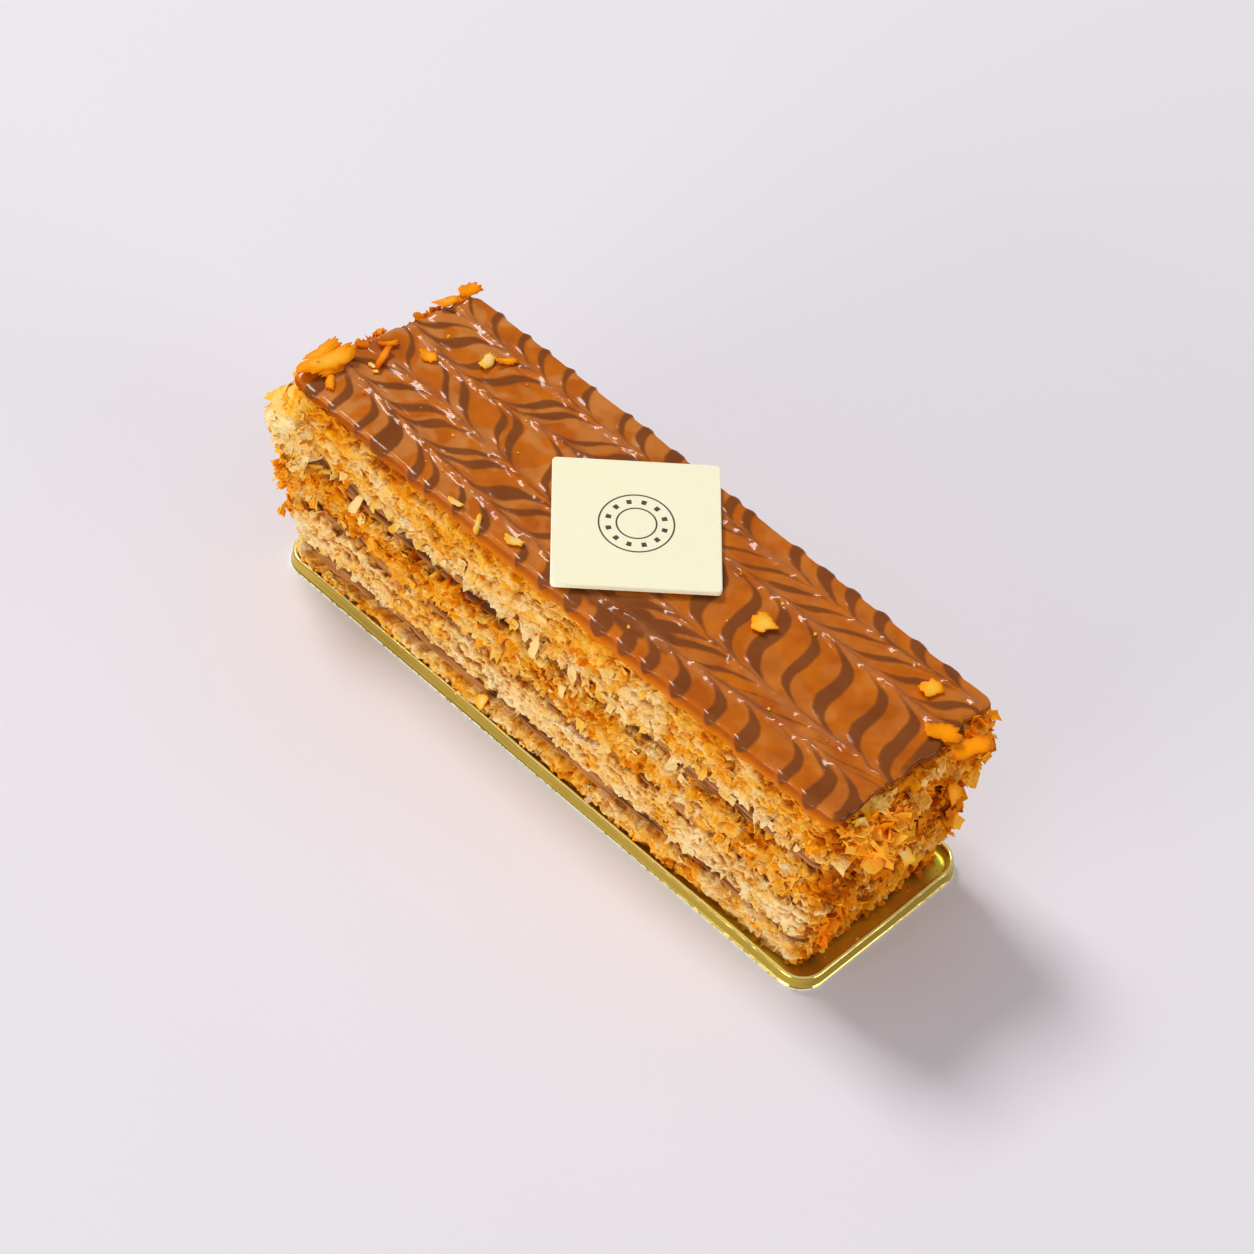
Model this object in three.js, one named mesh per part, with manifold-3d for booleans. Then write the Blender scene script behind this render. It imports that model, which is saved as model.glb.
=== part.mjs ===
// Mille feuille slice: four layers of baked puff pastry with three layers of cream between
// them, under a caramel glaze with a thin square plaque on it, standing in a gold card case.
// Units are millimetres and +Z is up. The origin is the centre of the case's underside.
// +X runs along the slice to its square end; the end at -X is cut at a slight angle.

import * as THREE from 'three';
import { mergeVertices } from 'three/addons/utils/BufferGeometryUtils.js';
import Module from 'manifold-3d';

const wasm = await Module();
wasm.setup();

// ---------- driving dimensions ----------

const CASE = { length: 130, width: 41.5, corner: 5, height: 3.2, board: 0.8, wall: 0.8 };
const CASE_FOOT = 0.3;                 // the bevel where the rim turns into the underside
const CASE_LEAN = 0.3;                 // how far the rim leans in from foot to top edge
const CASE_COVE = 0.5;                 // how far the inside of the rim spreads onto the floor
const SLICE = { length: 125.5, width: 37.4, skew: 6.7, corner: 2.5, x: 0.3, y: 1.6 };
const GAP = 0.3;                       // air left between two pieces that touch
const FACE_GAP = 0.5;                  // air left between the uneven faces of two layers

// Pastry and cream from the bottom up. The thicknesses are those near the far end, at the middle
// and near the square end, and each column of them adds up to the same height. The insets say how
// far each side stands back from the top outline: front (-Y), near end (+X), back (+Y) and far
// end (-X). A pastry layer has flakes round its edge, at a share of its height.
const LAYERS = [
  { name: 'pastry_bottom', thickness: [3.5, 4.5, 6.0], insets: [0.2, 2.6, 2.2, 3.0], wave: 0.3 },
  { name: 'cream_bottom', thickness: [2.4, 2.3, 2.0], insets: [1.0, 3.2, 2.8, 3.8], wave: 0.3 },
  { name: 'pastry_lower', thickness: [8.5, 7.1, 7.5], insets: [0.3, 1.8, 1.4, 1.2], wave: 0.5 },
  { name: 'cream_middle', thickness: [2.8, 2.4, 1.7], insets: [1.1, 2.5, 2.1, 2.4], wave: 0.3 },
  { name: 'pastry_upper', thickness: [7.1, 8.0, 8.3], insets: [0.3, 1.2, 1.0, 0.4], wave: 0.6 },
  { name: 'cream_top', thickness: [4.0, 2.3, 3.3], insets: [1.2, 2.1, 1.8, 1.6], wave: 0.5 },
  { name: 'pastry_top', thickness: [12.3, 14.0, 11.8], insets: [0.3, 0.6, 0.7, 0.4], wave: 0 },
];
const SIDE_FLAKES = {
  pastry_bottom: { count: 7, share: 0.85 },
  pastry_lower: { count: 9, share: 0.5 },
  pastry_upper: { count: 10, share: 0.5 },
  pastry_top: { count: 12, share: 0.35 },
};
const STATION = 55;                    // how far from the middle the end thicknesses are taken
const FRONT_LEAN = { far: 1.9, near: 0.7 };    // how far the front face stands out at its foot

const CRAG = { front: 0.9, near: 1.5, back: 0.9, far: 1.5 };   // depth of the torn pastry edge
const BELLY = 0.7;                     // how far the middle of a pastry layer bulges out
const FOOTING = 0.4;                   // share of the crag depth left at the foot, in the case
const CREAM_WANDER = 0.35;             // how far the edge of the cream wanders in and out
const WAVE_REACH = 6;                  // a layer's face is smooth this far in from the outline
const GLAZE = { thickness: 1.6, lip: 0.85, rounding: 0.4, flatFrom: 1.1 };
const COMB = { ridge: 0.25, first: -12, pitch: 9.2 };          // ridges left by the comb in the glaze
const LIP_DROP = { front: 3.6, back: 2.7, end: 2.2, wander: 0.35 };
const PLAQUE = { side: 28.7, thickness: 1.1, corner: 0.8, edge: 0.15, x: -2.4, y: 2.6, turn: 45 };
const FLAKE = { thickness: 0.8, sink: 0.25, depth: 3.8, shortest: 5, longest: 8 };

// Loose pastry flakes lying on the glaze: place, size, turn about Z and tilt, in degrees.
const TOP_FLAKES = [
  { x: -65.4, y: -9.8, length: 11.5, width: 5.4, turn: 75, tilt: 6, rise: 0 },
  { x: -65.6, y: -8.2, length: 9.5, width: 4.0, turn: 62, tilt: -10, rise: 0.55 },
  { x: -62.4, y: -13.4, length: 4.0, width: 2.6, turn: 20, tilt: 0, rise: 0 },
  { x: -59.6, y: -1.9, length: 5.4, width: 2.8, turn: 55, tilt: 5, rise: 0 },
  { x: -54.4, y: 3.5, length: 2.8, width: 2.2, turn: 30, tilt: 0, rise: 0 },
  { x: -46.7, y: 10.3, length: 4.2, width: 2.2, turn: 60, tilt: 0, rise: 0 },
  { x: -60.5, y: 16.6, length: 10.5, width: 4.6, turn: 80, tilt: 5, rise: 0 },
  { x: 26.3, y: 3.6, length: 4.6, width: 4.0, turn: 20, tilt: 4, rise: 0 },
  { x: 54.4, y: 14.5, length: 4.2, width: 3.4, turn: 50, tilt: 4, rise: 0 },
  { x: 62.0, y: 8.8, length: 6.6, width: 3.2, turn: 42, tilt: 8, rise: 0 },
  { x: -26.4, y: -15.0, length: 2.6, width: 1.8, turn: 0, tilt: 0, rise: 0 },
  { x: -13.6, y: -14.6, length: 3.2, width: 2.2, turn: 35, tilt: 0, rise: 0 },
];

// Shards that stand out of a torn end: the layer, the place along the end, the share of the
// layer's height they start from, their size and their tilt in degrees.
const END_SHARDS = [
  { layer: 'pastry_top', end: 1, y: -12, share: 0.62, length: 9, depth: 6.4, tilt: 30 },
  { layer: 'pastry_top', end: 1, y: -7, share: 0.28, length: 8, depth: 5.5, tilt: -14 },
  { layer: 'pastry_top', end: 1, y: 13, share: 0.72, length: 10, depth: 6.6, tilt: 12 },
  { layer: 'pastry_upper', end: 1, y: 10, share: 0.5, length: 8, depth: 6, tilt: 10 },
  { layer: 'pastry_lower', end: 1, y: 15.5, share: 0.5, length: 7, depth: 6, tilt: -16 },
  { layer: 'pastry_top', end: -1, y: -12, share: 0.45, length: 10, depth: 7, tilt: 10 },
  { layer: 'pastry_upper', end: -1, y: -10, share: 0.55, length: 8, depth: 6.4, tilt: -10 },
  { layer: 'pastry_upper', end: -1, y: 6, share: 0.5, length: 8, depth: 6, tilt: 8 },
  { layer: 'pastry_lower', end: -1, y: -9, share: 0.5, length: 8, depth: 6, tilt: 6 },
];

const ARC_POINTS = 3;                  // points on each rounded corner of the slice
const LONG_POINTS = 42;                // points between the corners of a long side
const SHORT_POINTS = 12;               // points between the corners of an end
const INNER_SHARE = 3;                 // an inner ring has one point in this many
const PASTRY_ROWS = [0, 1 / 3, 2 / 3, 1];
const TOP_PASTRY_ROWS = [0, 0.24, 0.48, 0.72];
const SEEDS = { pastry: 11, faces: 300, cream: 700, lip: 900, flakes: 77 };

// ---------- seeded randomness ----------

function makeRandom(seed) {
  let state = seed >>> 0;
  return () => {
    state = (state + 0x6d2b79f5) >>> 0;
    let mixed = Math.imul(state ^ (state >>> 15), 1 | state);
    mixed = (mixed + Math.imul(mixed ^ (mixed >>> 7), 61 | mixed)) ^ mixed;
    return ((mixed ^ (mixed >>> 14)) >>> 0) / 4294967296;
  };
}

const spread = (random, low, high) => low + (high - low) * random();

// A smooth uneven surface over the slice: a few crossing waves, 17 to 40 mm long.
function makeWaves(seed, count = 5) {
  const random = makeRandom(seed);
  const waves = [];
  for (let n = 0; n < count; n += 1) {
    const turn = spread(random, -0.9, 0.9);
    const pitch = spread(random, 17, 40);
    const phase = spread(random, 0, 2 * Math.PI);
    const rate = (2 * Math.PI) / pitch;
    waves.push({ ax: rate * Math.cos(turn), ay: rate * Math.sin(turn), phase });
  }
  return (x, y) => {
    const sum = waves.reduce((total, w) => total + Math.cos(w.ax * x + w.ay * y + w.phase), 0);
    return sum / Math.sqrt(count);
  };
}

// ---------- outlines ----------

// The corners of a shape, anticlockwise from the front left, with its skewed far end.
function cornersOf({ length, width, skew = 0, x = 0, y = 0 }) {
  const halfLength = length / 2;
  const halfWidth = width / 2;
  const halfSkew = skew / 2;
  return [
    new THREE.Vector2(x - halfLength - halfSkew, y - halfWidth),
    new THREE.Vector2(x + halfLength, y - halfWidth),
    new THREE.Vector2(x + halfLength, y + halfWidth),
    new THREE.Vector2(x - halfLength + halfSkew, y + halfWidth),
  ];
}

function edgeNormals(corners) {
  return corners.map((corner, k) => {
    const along = corners[(k + 1) % corners.length].clone().sub(corner).normalize();
    return new THREE.Vector2(along.y, -along.x);
  });
}

// A rounded outline drawn inside the corners, each side moved in by its own inset.
// Every point keeps its outward normal, and the loop always has the same number of points.
function roundedLoop(corners, insets, radius, arcPoints, sidePoints) {
  const normals = edgeNormals(corners);
  const arcs = corners.map((corner, k) => {
    const before = (k + corners.length - 1) % corners.length;
    const bend = Math.max(radius - Math.min(insets[before], insets[k]), 0.6);
    const n0 = normals[before];
    const n1 = normals[k];
    const d0 = -(insets[before] + bend);
    const d1 = -(insets[k] + bend);
    const cross = n0.cross(n1);
    const centre = new THREE.Vector2(
      corner.x + (d0 * n1.y - d1 * n0.y) / cross,
      corner.y + (d1 * n0.x - d0 * n1.x) / cross,
    );
    const start = n0.angle();
    const turn = THREE.MathUtils.euclideanModulo(n1.angle() - start, 2 * Math.PI);
    const points = [];
    for (let n = 0; n < arcPoints; n += 1) {
      const angle = start + (turn * n) / (arcPoints - 1);
      const normal = new THREE.Vector2(Math.cos(angle), Math.sin(angle));
      points.push({ x: centre.x + bend * normal.x, y: centre.y + bend * normal.y, normal });
    }
    return points;
  });
  const loop = [];
  arcs.forEach((arc, k) => {
    loop.push(...arc);
    const from = arc[arcPoints - 1];
    const to = arcs[(k + 1) % arcs.length][0];
    const steps = sidePoints[k] + 1;
    for (let n = 1; n < steps; n += 1) {
      const x = THREE.MathUtils.lerp(from.x, to.x, n / steps);
      const y = THREE.MathUtils.lerp(from.y, to.y, n / steps);
      loop.push({ x, y, normal: normals[k] });
    }
  });
  return loop;
}

const sliceCorners = cornersOf(SLICE);
const sliceNormals = edgeNormals(sliceCorners);
const SIDE_POINTS = [LONG_POINTS, SHORT_POINTS, LONG_POINTS, SHORT_POINTS];
const sliceLoop = (insets) => roundedLoop(sliceCorners, insets, SLICE.corner, ARC_POINTS, SIDE_POINTS);
const evenLoop = (inset) => sliceLoop([inset, inset, inset, inset]);

// How far a point is inside the top outline of the slice; negative outside it.
function insideBy(x, y) {
  const distances = sliceCorners.map((corner, k) => {
    const normal = sliceNormals[k];
    return (corner.x - x) * normal.x + (corner.y - y) * normal.y;
  });
  return Math.min(...distances);
}

// ---------- rings into closed solids ----------

const ringAt = (loop, height) => loop.map((p) => [p.x, p.y, height(p)]);

function thinned(loop) {
  return loop.filter((_, n) => n % INNER_SHARE === 0);
}

// Joins two rings with a closed strip; one ring may have fewer points than the other.
function addStrip(faces, startA, countA, startB, countB) {
  const steps = Math.max(countA, countB);
  for (let n = 0; n < steps; n += 1) {
    const a0 = Math.floor((n * countA) / steps);
    const a1 = Math.floor(((n + 1) * countA) / steps);
    const b0 = Math.floor((n * countB) / steps);
    const b1 = Math.floor(((n + 1) * countB) / steps);
    const nextA = startA + (a1 % countA);
    const nextB = startB + (b1 % countB);
    if (a1 !== a0) faces.push([startA + a0, nextA, nextB]);
    if (b1 !== b0) faces.push([startA + a0, nextB, startB + b0]);
  }
}

function addCap(faces, ring, start, up) {
  const contour = ring.map(([x, y]) => new THREE.Vector2(x, y));
  THREE.ShapeUtils.triangulateShape(contour, []).forEach(([a, b, c]) => {
    faces.push(up ? [start + a, start + b, start + c] : [start + a, start + c, start + b]);
  });
}

function toGeometry(points, faces) {
  const geometry = new THREE.BufferGeometry();
  geometry.setAttribute('position', new THREE.Float32BufferAttribute(points.flat(), 3));
  geometry.setIndex(faces.flat());
  return geometry;
}

// Rings run from the middle of the underside, round the outside, to the middle of the top.
// Without closeTop the last ring is left open for the caller to fill.
function ringsToMesh(rings, closeTop = true) {
  const points = [];
  const faces = [];
  const starts = rings.map((ring) => {
    const start = points.length;
    points.push(...ring);
    return start;
  });
  addCap(faces, rings[0], starts[0], false);
  for (let n = 1; n < rings.length; n += 1) {
    addStrip(faces, starts[n - 1], rings[n - 1].length, starts[n], rings[n].length);
  }
  const last = rings.length - 1;
  if (closeTop) addCap(faces, rings[last], starts[last], true);
  return { points, faces, lastStart: starts[last] };
}

// ---------- joining flakes on ----------

function toManifold(geometry) {
  const bare = geometry.clone();
  bare.deleteAttribute('normal');
  bare.deleteAttribute('uv');
  const merged = mergeVertices(bare, 1e-4);
  const vertProperties = new Float32Array(merged.attributes.position.array);
  const triVerts = new Uint32Array(merged.index.array);
  return new wasm.Manifold(new wasm.Mesh({ numProp: 3, vertProperties, triVerts }));
}

function joined(body, pieces) {
  const whole = pieces.reduce((sum, piece) => sum.add(toManifold(piece)), toManifold(body));
  const mesh = whole.getMesh();
  const geometry = new THREE.BufferGeometry();
  geometry.setAttribute('position', new THREE.Float32BufferAttribute(mesh.vertProperties, 3));
  geometry.setIndex(Array.from(mesh.triVerts));
  return geometry;
}

// A thin plate with a torn six-sided outline, lying level and centred on the origin.
function tornPlate(random, length, width, thickness) {
  const sides = 6;
  const shape = new THREE.Shape();
  for (let n = 0; n < sides; n += 1) {
    const angle = ((n + spread(random, -0.25, 0.25)) / sides) * 2 * Math.PI;
    const reach = spread(random, 0.8, 1.1);
    const x = (length / 2) * reach * Math.cos(angle);
    const y = (width / 2) * reach * Math.sin(angle);
    if (n === 0) shape.moveTo(x, y);
    else shape.lineTo(x, y);
  }
  shape.closePath();
  const plate = new THREE.ExtrudeGeometry(shape, { depth: thickness, bevelEnabled: false });
  plate.translate(0, 0, -thickness / 2);
  return plate;
}

const radians = THREE.MathUtils.degToRad;

function placed(geometry, { x, y, z, turn, tilt }) {
  const spin = new THREE.Quaternion().setFromEuler(new THREE.Euler(tilt, 0, turn, 'ZXY'));
  const matrix = new THREE.Matrix4();
  matrix.compose(new THREE.Vector3(x, y, z), spin, new THREE.Vector3(1, 1, 1));
  return geometry.applyMatrix4(matrix);
}

// ---------- heights of the layers ----------

const floorTop = CASE.board;
const foodBase = floorTop + GAP;
const foodTop = foodBase + LAYERS.reduce((total, layer) => total + layer.thickness[1], 0);
const glazeUnderside = foodTop + GAP;
const glazeTop = glazeUnderside + GLAZE.thickness;

// A value along the slice, on a smooth curve through its far, middle and near values.
function along([far, middle, near], x) {
  const u = x / STATION;
  return middle + ((near - far) / 2) * u + ((near + far) / 2 - middle) * u * u;
}

// The height of the face between layer k - 1 and layer k. It is smooth well inside and
// uneven along the sides, where the layers sag and swell.
const faceWaves = LAYERS.map((_, k) => makeWaves(SEEDS.faces + k));
function faceHeight(k, x, y) {
  const below = LAYERS.slice(0, k);
  const level = below.reduce((total, layer) => total + along(layer.thickness, x), foodBase);
  if (k === 0 || k === LAYERS.length) return level;
  const reach = THREE.MathUtils.clamp(1 - insideBy(x, y) / WAVE_REACH, 0, 1.2);
  return level + LAYERS[k - 1].wave * faceWaves[k](x, y) * reach;
}

const underside = (k, x, y) => faceHeight(k, x, y) + (k === 0 ? 0 : FACE_GAP / 2);
const topside = (k, x, y) => faceHeight(k + 1, x, y) - (k + 1 === LAYERS.length ? 0 : FACE_GAP / 2);
const between = (k, share) => (x, y) => {
  return THREE.MathUtils.lerp(underside(k, x, y), topside(k, x, y), share);
};

// A layer's outline at a share of its height. The front face stands out towards its foot,
// and more so at the far end.
function layerLoop(k, share) {
  return sliceLoop(LAYERS[k].insets).map((p) => {
    const near = THREE.MathUtils.clamp(p.x / SLICE.length + 0.5, 0, 1);
    const drop = 1 - between(k, share)(p.x, p.y) / glazeTop;
    const lean = THREE.MathUtils.lerp(FRONT_LEAN.far, FRONT_LEAN.near, near);
    const out = lean * drop * Math.max(0, -p.normal.y);
    return { x: p.x + out * p.normal.x, y: p.y + out * p.normal.y, normal: p.normal };
  });
}

// ---------- pastry ----------

// How deep the torn edge is at a point, from the side that it faces.
function cragDepth(normal) {
  const long = normal.y < 0 ? CRAG.front : CRAG.back;
  const end = normal.x < 0 ? CRAG.far : CRAG.near;
  return THREE.MathUtils.lerp(long, end, Math.abs(normal.x));
}

// The front left corner of the top layer is puffed out past the rest.
const PUFF = { x: sliceCorners[0].x, y: sliceCorners[0].y + 3, reach: 7, depth: 3.2 };
function puffAt(p) {
  const distance = Math.hypot(p.x - PUFF.x, p.y - PUFF.y);
  return PUFF.depth * Math.exp(-((distance / PUFF.reach) ** 2));
}

function tornRing(k, share, random, height, extra = () => 0) {
  const footing = k === 0 && share < 0.5 ? FOOTING : 1;
  const belly = BELLY * Math.sin(Math.PI * share);
  return layerLoop(k, share).map((p) => {
    const out = footing * (cragDepth(p.normal) * spread(random, -1, 0.7) + belly) + extra(p);
    const x = p.x + out * p.normal.x;
    const y = p.y + out * p.normal.y;
    return [x, y, height(x, y)];
  });
}

const innerRing = (height) => ringAt(thinned(evenLoop(WAVE_REACH)), (p) => height(p.x, p.y));

function sideFlakes(k, random) {
  const { count, share } = SIDE_FLAKES[LAYERS[k].name];
  const loop = layerLoop(k, share);
  const plates = [];
  for (let n = 0; n < count; n += 1) {
    const p = loop[Math.floor(((n + random()) / count) * loop.length) % loop.length];
    const halfRoom = (topside(k, p.x, p.y) - underside(k, p.x, p.y)) / 2 - 2 * FLAKE.thickness;
    const rise = THREE.MathUtils.clamp(halfRoom, 0.1, 1.2);
    const tilt = Math.asin((1.6 * spread(random, -rise, rise)) / FLAKE.depth);
    const length = spread(random, FLAKE.shortest, FLAKE.longest);
    const plate = tornPlate(random, length, FLAKE.depth, FLAKE.thickness);
    const z = between(k, share)(p.x, p.y);
    plates.push(placed(plate, { x: p.x, y: p.y, z, turn: p.normal.angle() - Math.PI / 2, tilt }));
  }
  return plates;
}

function endShards(k, random) {
  const layer = LAYERS[k];
  return END_SHARDS.filter((shard) => shard.layer === layer.name).map((shard) => {
    const inset = layer.insets[shard.end > 0 ? 1 : 3];
    const lean = shard.end > 0 ? 0 : ((shard.y - SLICE.y) / SLICE.width) * SLICE.skew;
    const x = SLICE.x + shard.end * (SLICE.length / 2 - inset) + lean;
    const z = between(k, shard.share)(x, shard.y);
    const plate = tornPlate(random, shard.length, shard.depth, FLAKE.thickness);
    const turn = -shard.end * (Math.PI / 2);
    return placed(plate, { x, y: shard.y, z, turn, tilt: radians(shard.tilt) });
  });
}

function withFlakes(rings, k, random) {
  const { points, faces } = ringsToMesh(rings);
  return joined(toGeometry(points, faces), [...sideFlakes(k, random), ...endShards(k, random)]);
}

function pastry(k) {
  const random = makeRandom(SEEDS.pastry + k);
  const rings = [innerRing(between(k, 0))];
  PASTRY_ROWS.forEach((share) => rings.push(tornRing(k, share, random, between(k, share))));
  rings.push(innerRing(between(k, 1)));
  return withFlakes(rings, k, random);
}

// The top layer narrows to a smooth shoulder, over which the lip of the glaze hangs.
function topPastry(k) {
  const random = makeRandom(SEEDS.pastry + k);
  const shoulder = evenLoop(GLAZE.lip + 2 * GAP);
  const belowLip = (x, y, normal) => lipHeight(x, y, normal) - 2 * GAP;
  const rings = [innerRing(between(k, 0))];
  TOP_PASTRY_ROWS.forEach((share) => {
    rings.push(tornRing(k, share, random, between(k, share), puffAt));
  });
  rings.push(ringAt(shoulder, (p) => belowLip(p.x, p.y, p.normal)));
  rings.push(ringAt(shoulder, () => foodTop));
  rings.push(innerRing(() => foodTop));
  return withFlakes(rings, k, random);
}

// ---------- cream ----------

function cream(k) {
  const edgeWaves = makeWaves(SEEDS.cream + k);
  const edge = (share) => layerLoop(k, share).map((p) => {
    const out = CREAM_WANDER * edgeWaves(p.x, p.y);
    return { x: p.x + out * p.normal.x, y: p.y + out * p.normal.y };
  });
  const { points, faces } = ringsToMesh([
    innerRing(between(k, 0)),
    ringAt(edge(0), (p) => underside(k, p.x, p.y)),
    ringAt(edge(1), (p) => topside(k, p.x, p.y)),
    innerRing(between(k, 1)),
  ]);
  return toGeometry(points, faces);
}

// ---------- glaze ----------

// The height of the lip's lower edge: it hangs deepest at the front and least at the ends.
const lipWaves = makeWaves(SEEDS.lip);
function lipHeight(x, y, normal) {
  const long = normal.y < 0 ? LIP_DROP.front : LIP_DROP.back;
  const drop = THREE.MathUtils.lerp(long, LIP_DROP.end, Math.abs(normal.x));
  const wander = LIP_DROP.wander * Math.abs(normal.y) * lipWaves(x, y);
  return glazeTop - drop - wander;
}

// The combed top: low ridges along the slice, fading out at the rim.
function combedHeight(x, y) {
  const ridge = 0.5 + 0.5 * Math.cos((2 * Math.PI * (y - COMB.first)) / COMB.pitch);
  const fade = THREE.MathUtils.smoothstep(insideBy(x, y), GLAZE.flatFrom, GLAZE.flatFrom + 3);
  return glazeTop + COMB.ridge * ridge * fade;
}

// Fills the top outline with a grid that has every point of the outline on its border.
function addTopGrid(points, faces, ring, start) {
  const arcMiddle = (ARC_POINTS - 1) / 2;
  const longSpan = LONG_POINTS + ARC_POINTS;
  const shortSpan = SHORT_POINTS + ARC_POINTS;
  const cornerAt = [0, longSpan, longSpan + shortSpan, 2 * longSpan + shortSpan];
  const borderIndex = (offset) => (offset + arcMiddle + ring.length) % ring.length;
  const border = (offset) => ring[borderIndex(offset)];
  const index = [];
  for (let row = 0; row <= shortSpan; row += 1) {
    index.push([]);
    for (let column = 0; column <= longSpan; column += 1) {
      if (row === 0) index[row].push(start + borderIndex(column));
      else if (row === shortSpan) index[row].push(start + borderIndex(cornerAt[3] - column));
      else if (column === 0) index[row].push(start + borderIndex(-row));
      else if (column === longSpan) index[row].push(start + borderIndex(cornerAt[1] + row));
      else {
        const u = column / longSpan;
        const v = row / shortSpan;
        const blend = (axis) => {
          const front = border(column)[axis];
          const back = border(cornerAt[3] - column)[axis];
          const far = border(-row)[axis];
          const near = border(cornerAt[1] + row)[axis];
          const frontEnds = (1 - u) * border(0)[axis] + u * border(cornerAt[1])[axis];
          const backEnds = (1 - u) * border(cornerAt[3])[axis] + u * border(cornerAt[2])[axis];
          return (1 - v) * (front - frontEnds) + v * (back - backEnds) + (1 - u) * far + u * near;
        };
        const x = blend(0);
        const y = blend(1);
        index[row].push(points.length);
        points.push([x, y, combedHeight(x, y)]);
      }
    }
  }
  for (let row = 0; row < shortSpan; row += 1) {
    for (let column = 0; column < longSpan; column += 1) {
      const a = index[row][column];
      const b = index[row][column + 1];
      const c = index[row + 1][column + 1];
      const d = index[row + 1][column];
      faces.push([a, b, c], [a, c, d]);
    }
  }
}

function glaze() {
  const random = makeRandom(SEEDS.flakes);
  const skirt = evenLoop(GLAZE.lip);
  const lipEdge = (rise) => (p) => lipHeight(p.x, p.y, p.normal) + rise;
  const topRing = ringAt(evenLoop(GLAZE.flatFrom), () => glazeTop);
  const { points, faces, lastStart } = ringsToMesh([
    ringAt(thinned(evenLoop(WAVE_REACH)), () => glazeUnderside),
    ringAt(skirt, () => glazeUnderside),
    ringAt(skirt, lipEdge(0)),
    ringAt(evenLoop(GLAZE.rounding), lipEdge(0)),
    ringAt(evenLoop(0), lipEdge(GLAZE.rounding)),
    ringAt(evenLoop(GLAZE.rounding), () => glazeTop - GLAZE.rounding),
    topRing,
  ], false);
  addTopGrid(points, faces, topRing, lastStart);
  const flakes = TOP_FLAKES.map((flake) => {
    const plate = tornPlate(random, flake.length, flake.width, FLAKE.thickness);
    const z = glazeTop + FLAKE.thickness / 2 - FLAKE.sink + flake.rise;
    const { x, y, turn, tilt } = flake;
    return placed(plate, { x, y, z, turn: radians(turn), tilt: radians(tilt) });
  });
  return joined(toGeometry(points, faces), flakes);
}

// ---------- plaque ----------

function plaque() {
  const square = cornersOf({ length: PLAQUE.side, width: PLAQUE.side });
  const outline = (inset) => roundedLoop(square, Array(4).fill(inset), PLAQUE.corner, 4, [4, 4, 4, 4]);
  const base = glazeTop + COMB.ridge + GAP;
  const { points, faces } = ringsToMesh([
    ringAt(outline(PLAQUE.edge), () => 0),
    ringAt(outline(0), () => PLAQUE.edge),
    ringAt(outline(0), () => PLAQUE.thickness - PLAQUE.edge),
    ringAt(outline(PLAQUE.edge), () => PLAQUE.thickness),
  ]);
  const geometry = toGeometry(points, faces);
  return placed(geometry, { x: PLAQUE.x, y: PLAQUE.y, z: base, turn: radians(PLAQUE.turn), tilt: 0 });
}

// ---------- card case ----------

// A shallow board with a low rim that leans in a little and ends in a thin rounded top edge.
function cardCase() {
  const corners = cornersOf(CASE);
  const outline = (inset) => roundedLoop(corners, Array(4).fill(inset), CASE.corner, 7, [12, 4, 12, 4]);
  const rounding = CASE.wall / 2;
  const { points, faces } = ringsToMesh([
    ringAt(outline(CASE_FOOT), () => 0),
    ringAt(outline(0), () => CASE_FOOT),
    ringAt(outline(CASE_LEAN), () => CASE.height - rounding),
    ringAt(outline(CASE_LEAN + rounding), () => CASE.height),
    ringAt(outline(CASE_LEAN + CASE.wall), () => CASE.height - rounding),
    ringAt(outline(CASE_LEAN + CASE.wall + CASE_COVE), () => CASE.board),
  ]);
  return toGeometry(points, faces);
}

// ---------- the whole ----------

function finish(color, roughness, metalness = 0) {
  return new THREE.MeshStandardMaterial({ color, roughness, metalness });
}

const finishes = {
  card_case: finish('#c9a53a', 0.25, 1),
  pastry_bottom: finish('#dba862', 0.8),
  cream_bottom: finish('#a87a52', 0.6),
  pastry_lower: finish('#ecc894', 0.8),
  cream_middle: finish('#a3714a', 0.6),
  pastry_upper: finish('#e0a14e', 0.8),
  cream_top: finish('#ab8058', 0.6),
  pastry_top: finish('#e6b468', 0.8),
  glaze: finish('#b8651f', 0.25),
  plaque: finish('#fdfbe6', 0.5),
};

const shapes = { card_case: cardCase() };
LAYERS.forEach((layer, k) => {
  if (layer.name.startsWith('cream')) shapes[layer.name] = cream(k);
  else shapes[layer.name] = k === LAYERS.length - 1 ? topPastry(k) : pastry(k);
});
shapes.glaze = glaze();
shapes.plaque = plaque();

const slice = new THREE.Group();
slice.name = 'mille_feuille_slice';
Object.entries(shapes).forEach(([name, geometry]) => {
  const mesh = new THREE.Mesh(geometry, finishes[name]);
  mesh.name = name;
  slice.add(mesh);
});

export default slice;
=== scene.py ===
# %% [markdown]
# # A mille feuille slice in Blender
# The construction model gives the sizes and the places of every layer. This script dresses it:
# each torn layer of pastry, each band of cream, the combed caramel glaze, the loose flakes and
# the gold card case are made here as fine meshes with their own materials. Sizes are given in
# millimetres, the unit a pastry cook would use, and are turned into metres once, when a mesh
# is made.

# %% Start: load the construction model
import math
from itertools import product

import bpy
import numpy as np
from mathutils import Matrix, Vector


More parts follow.
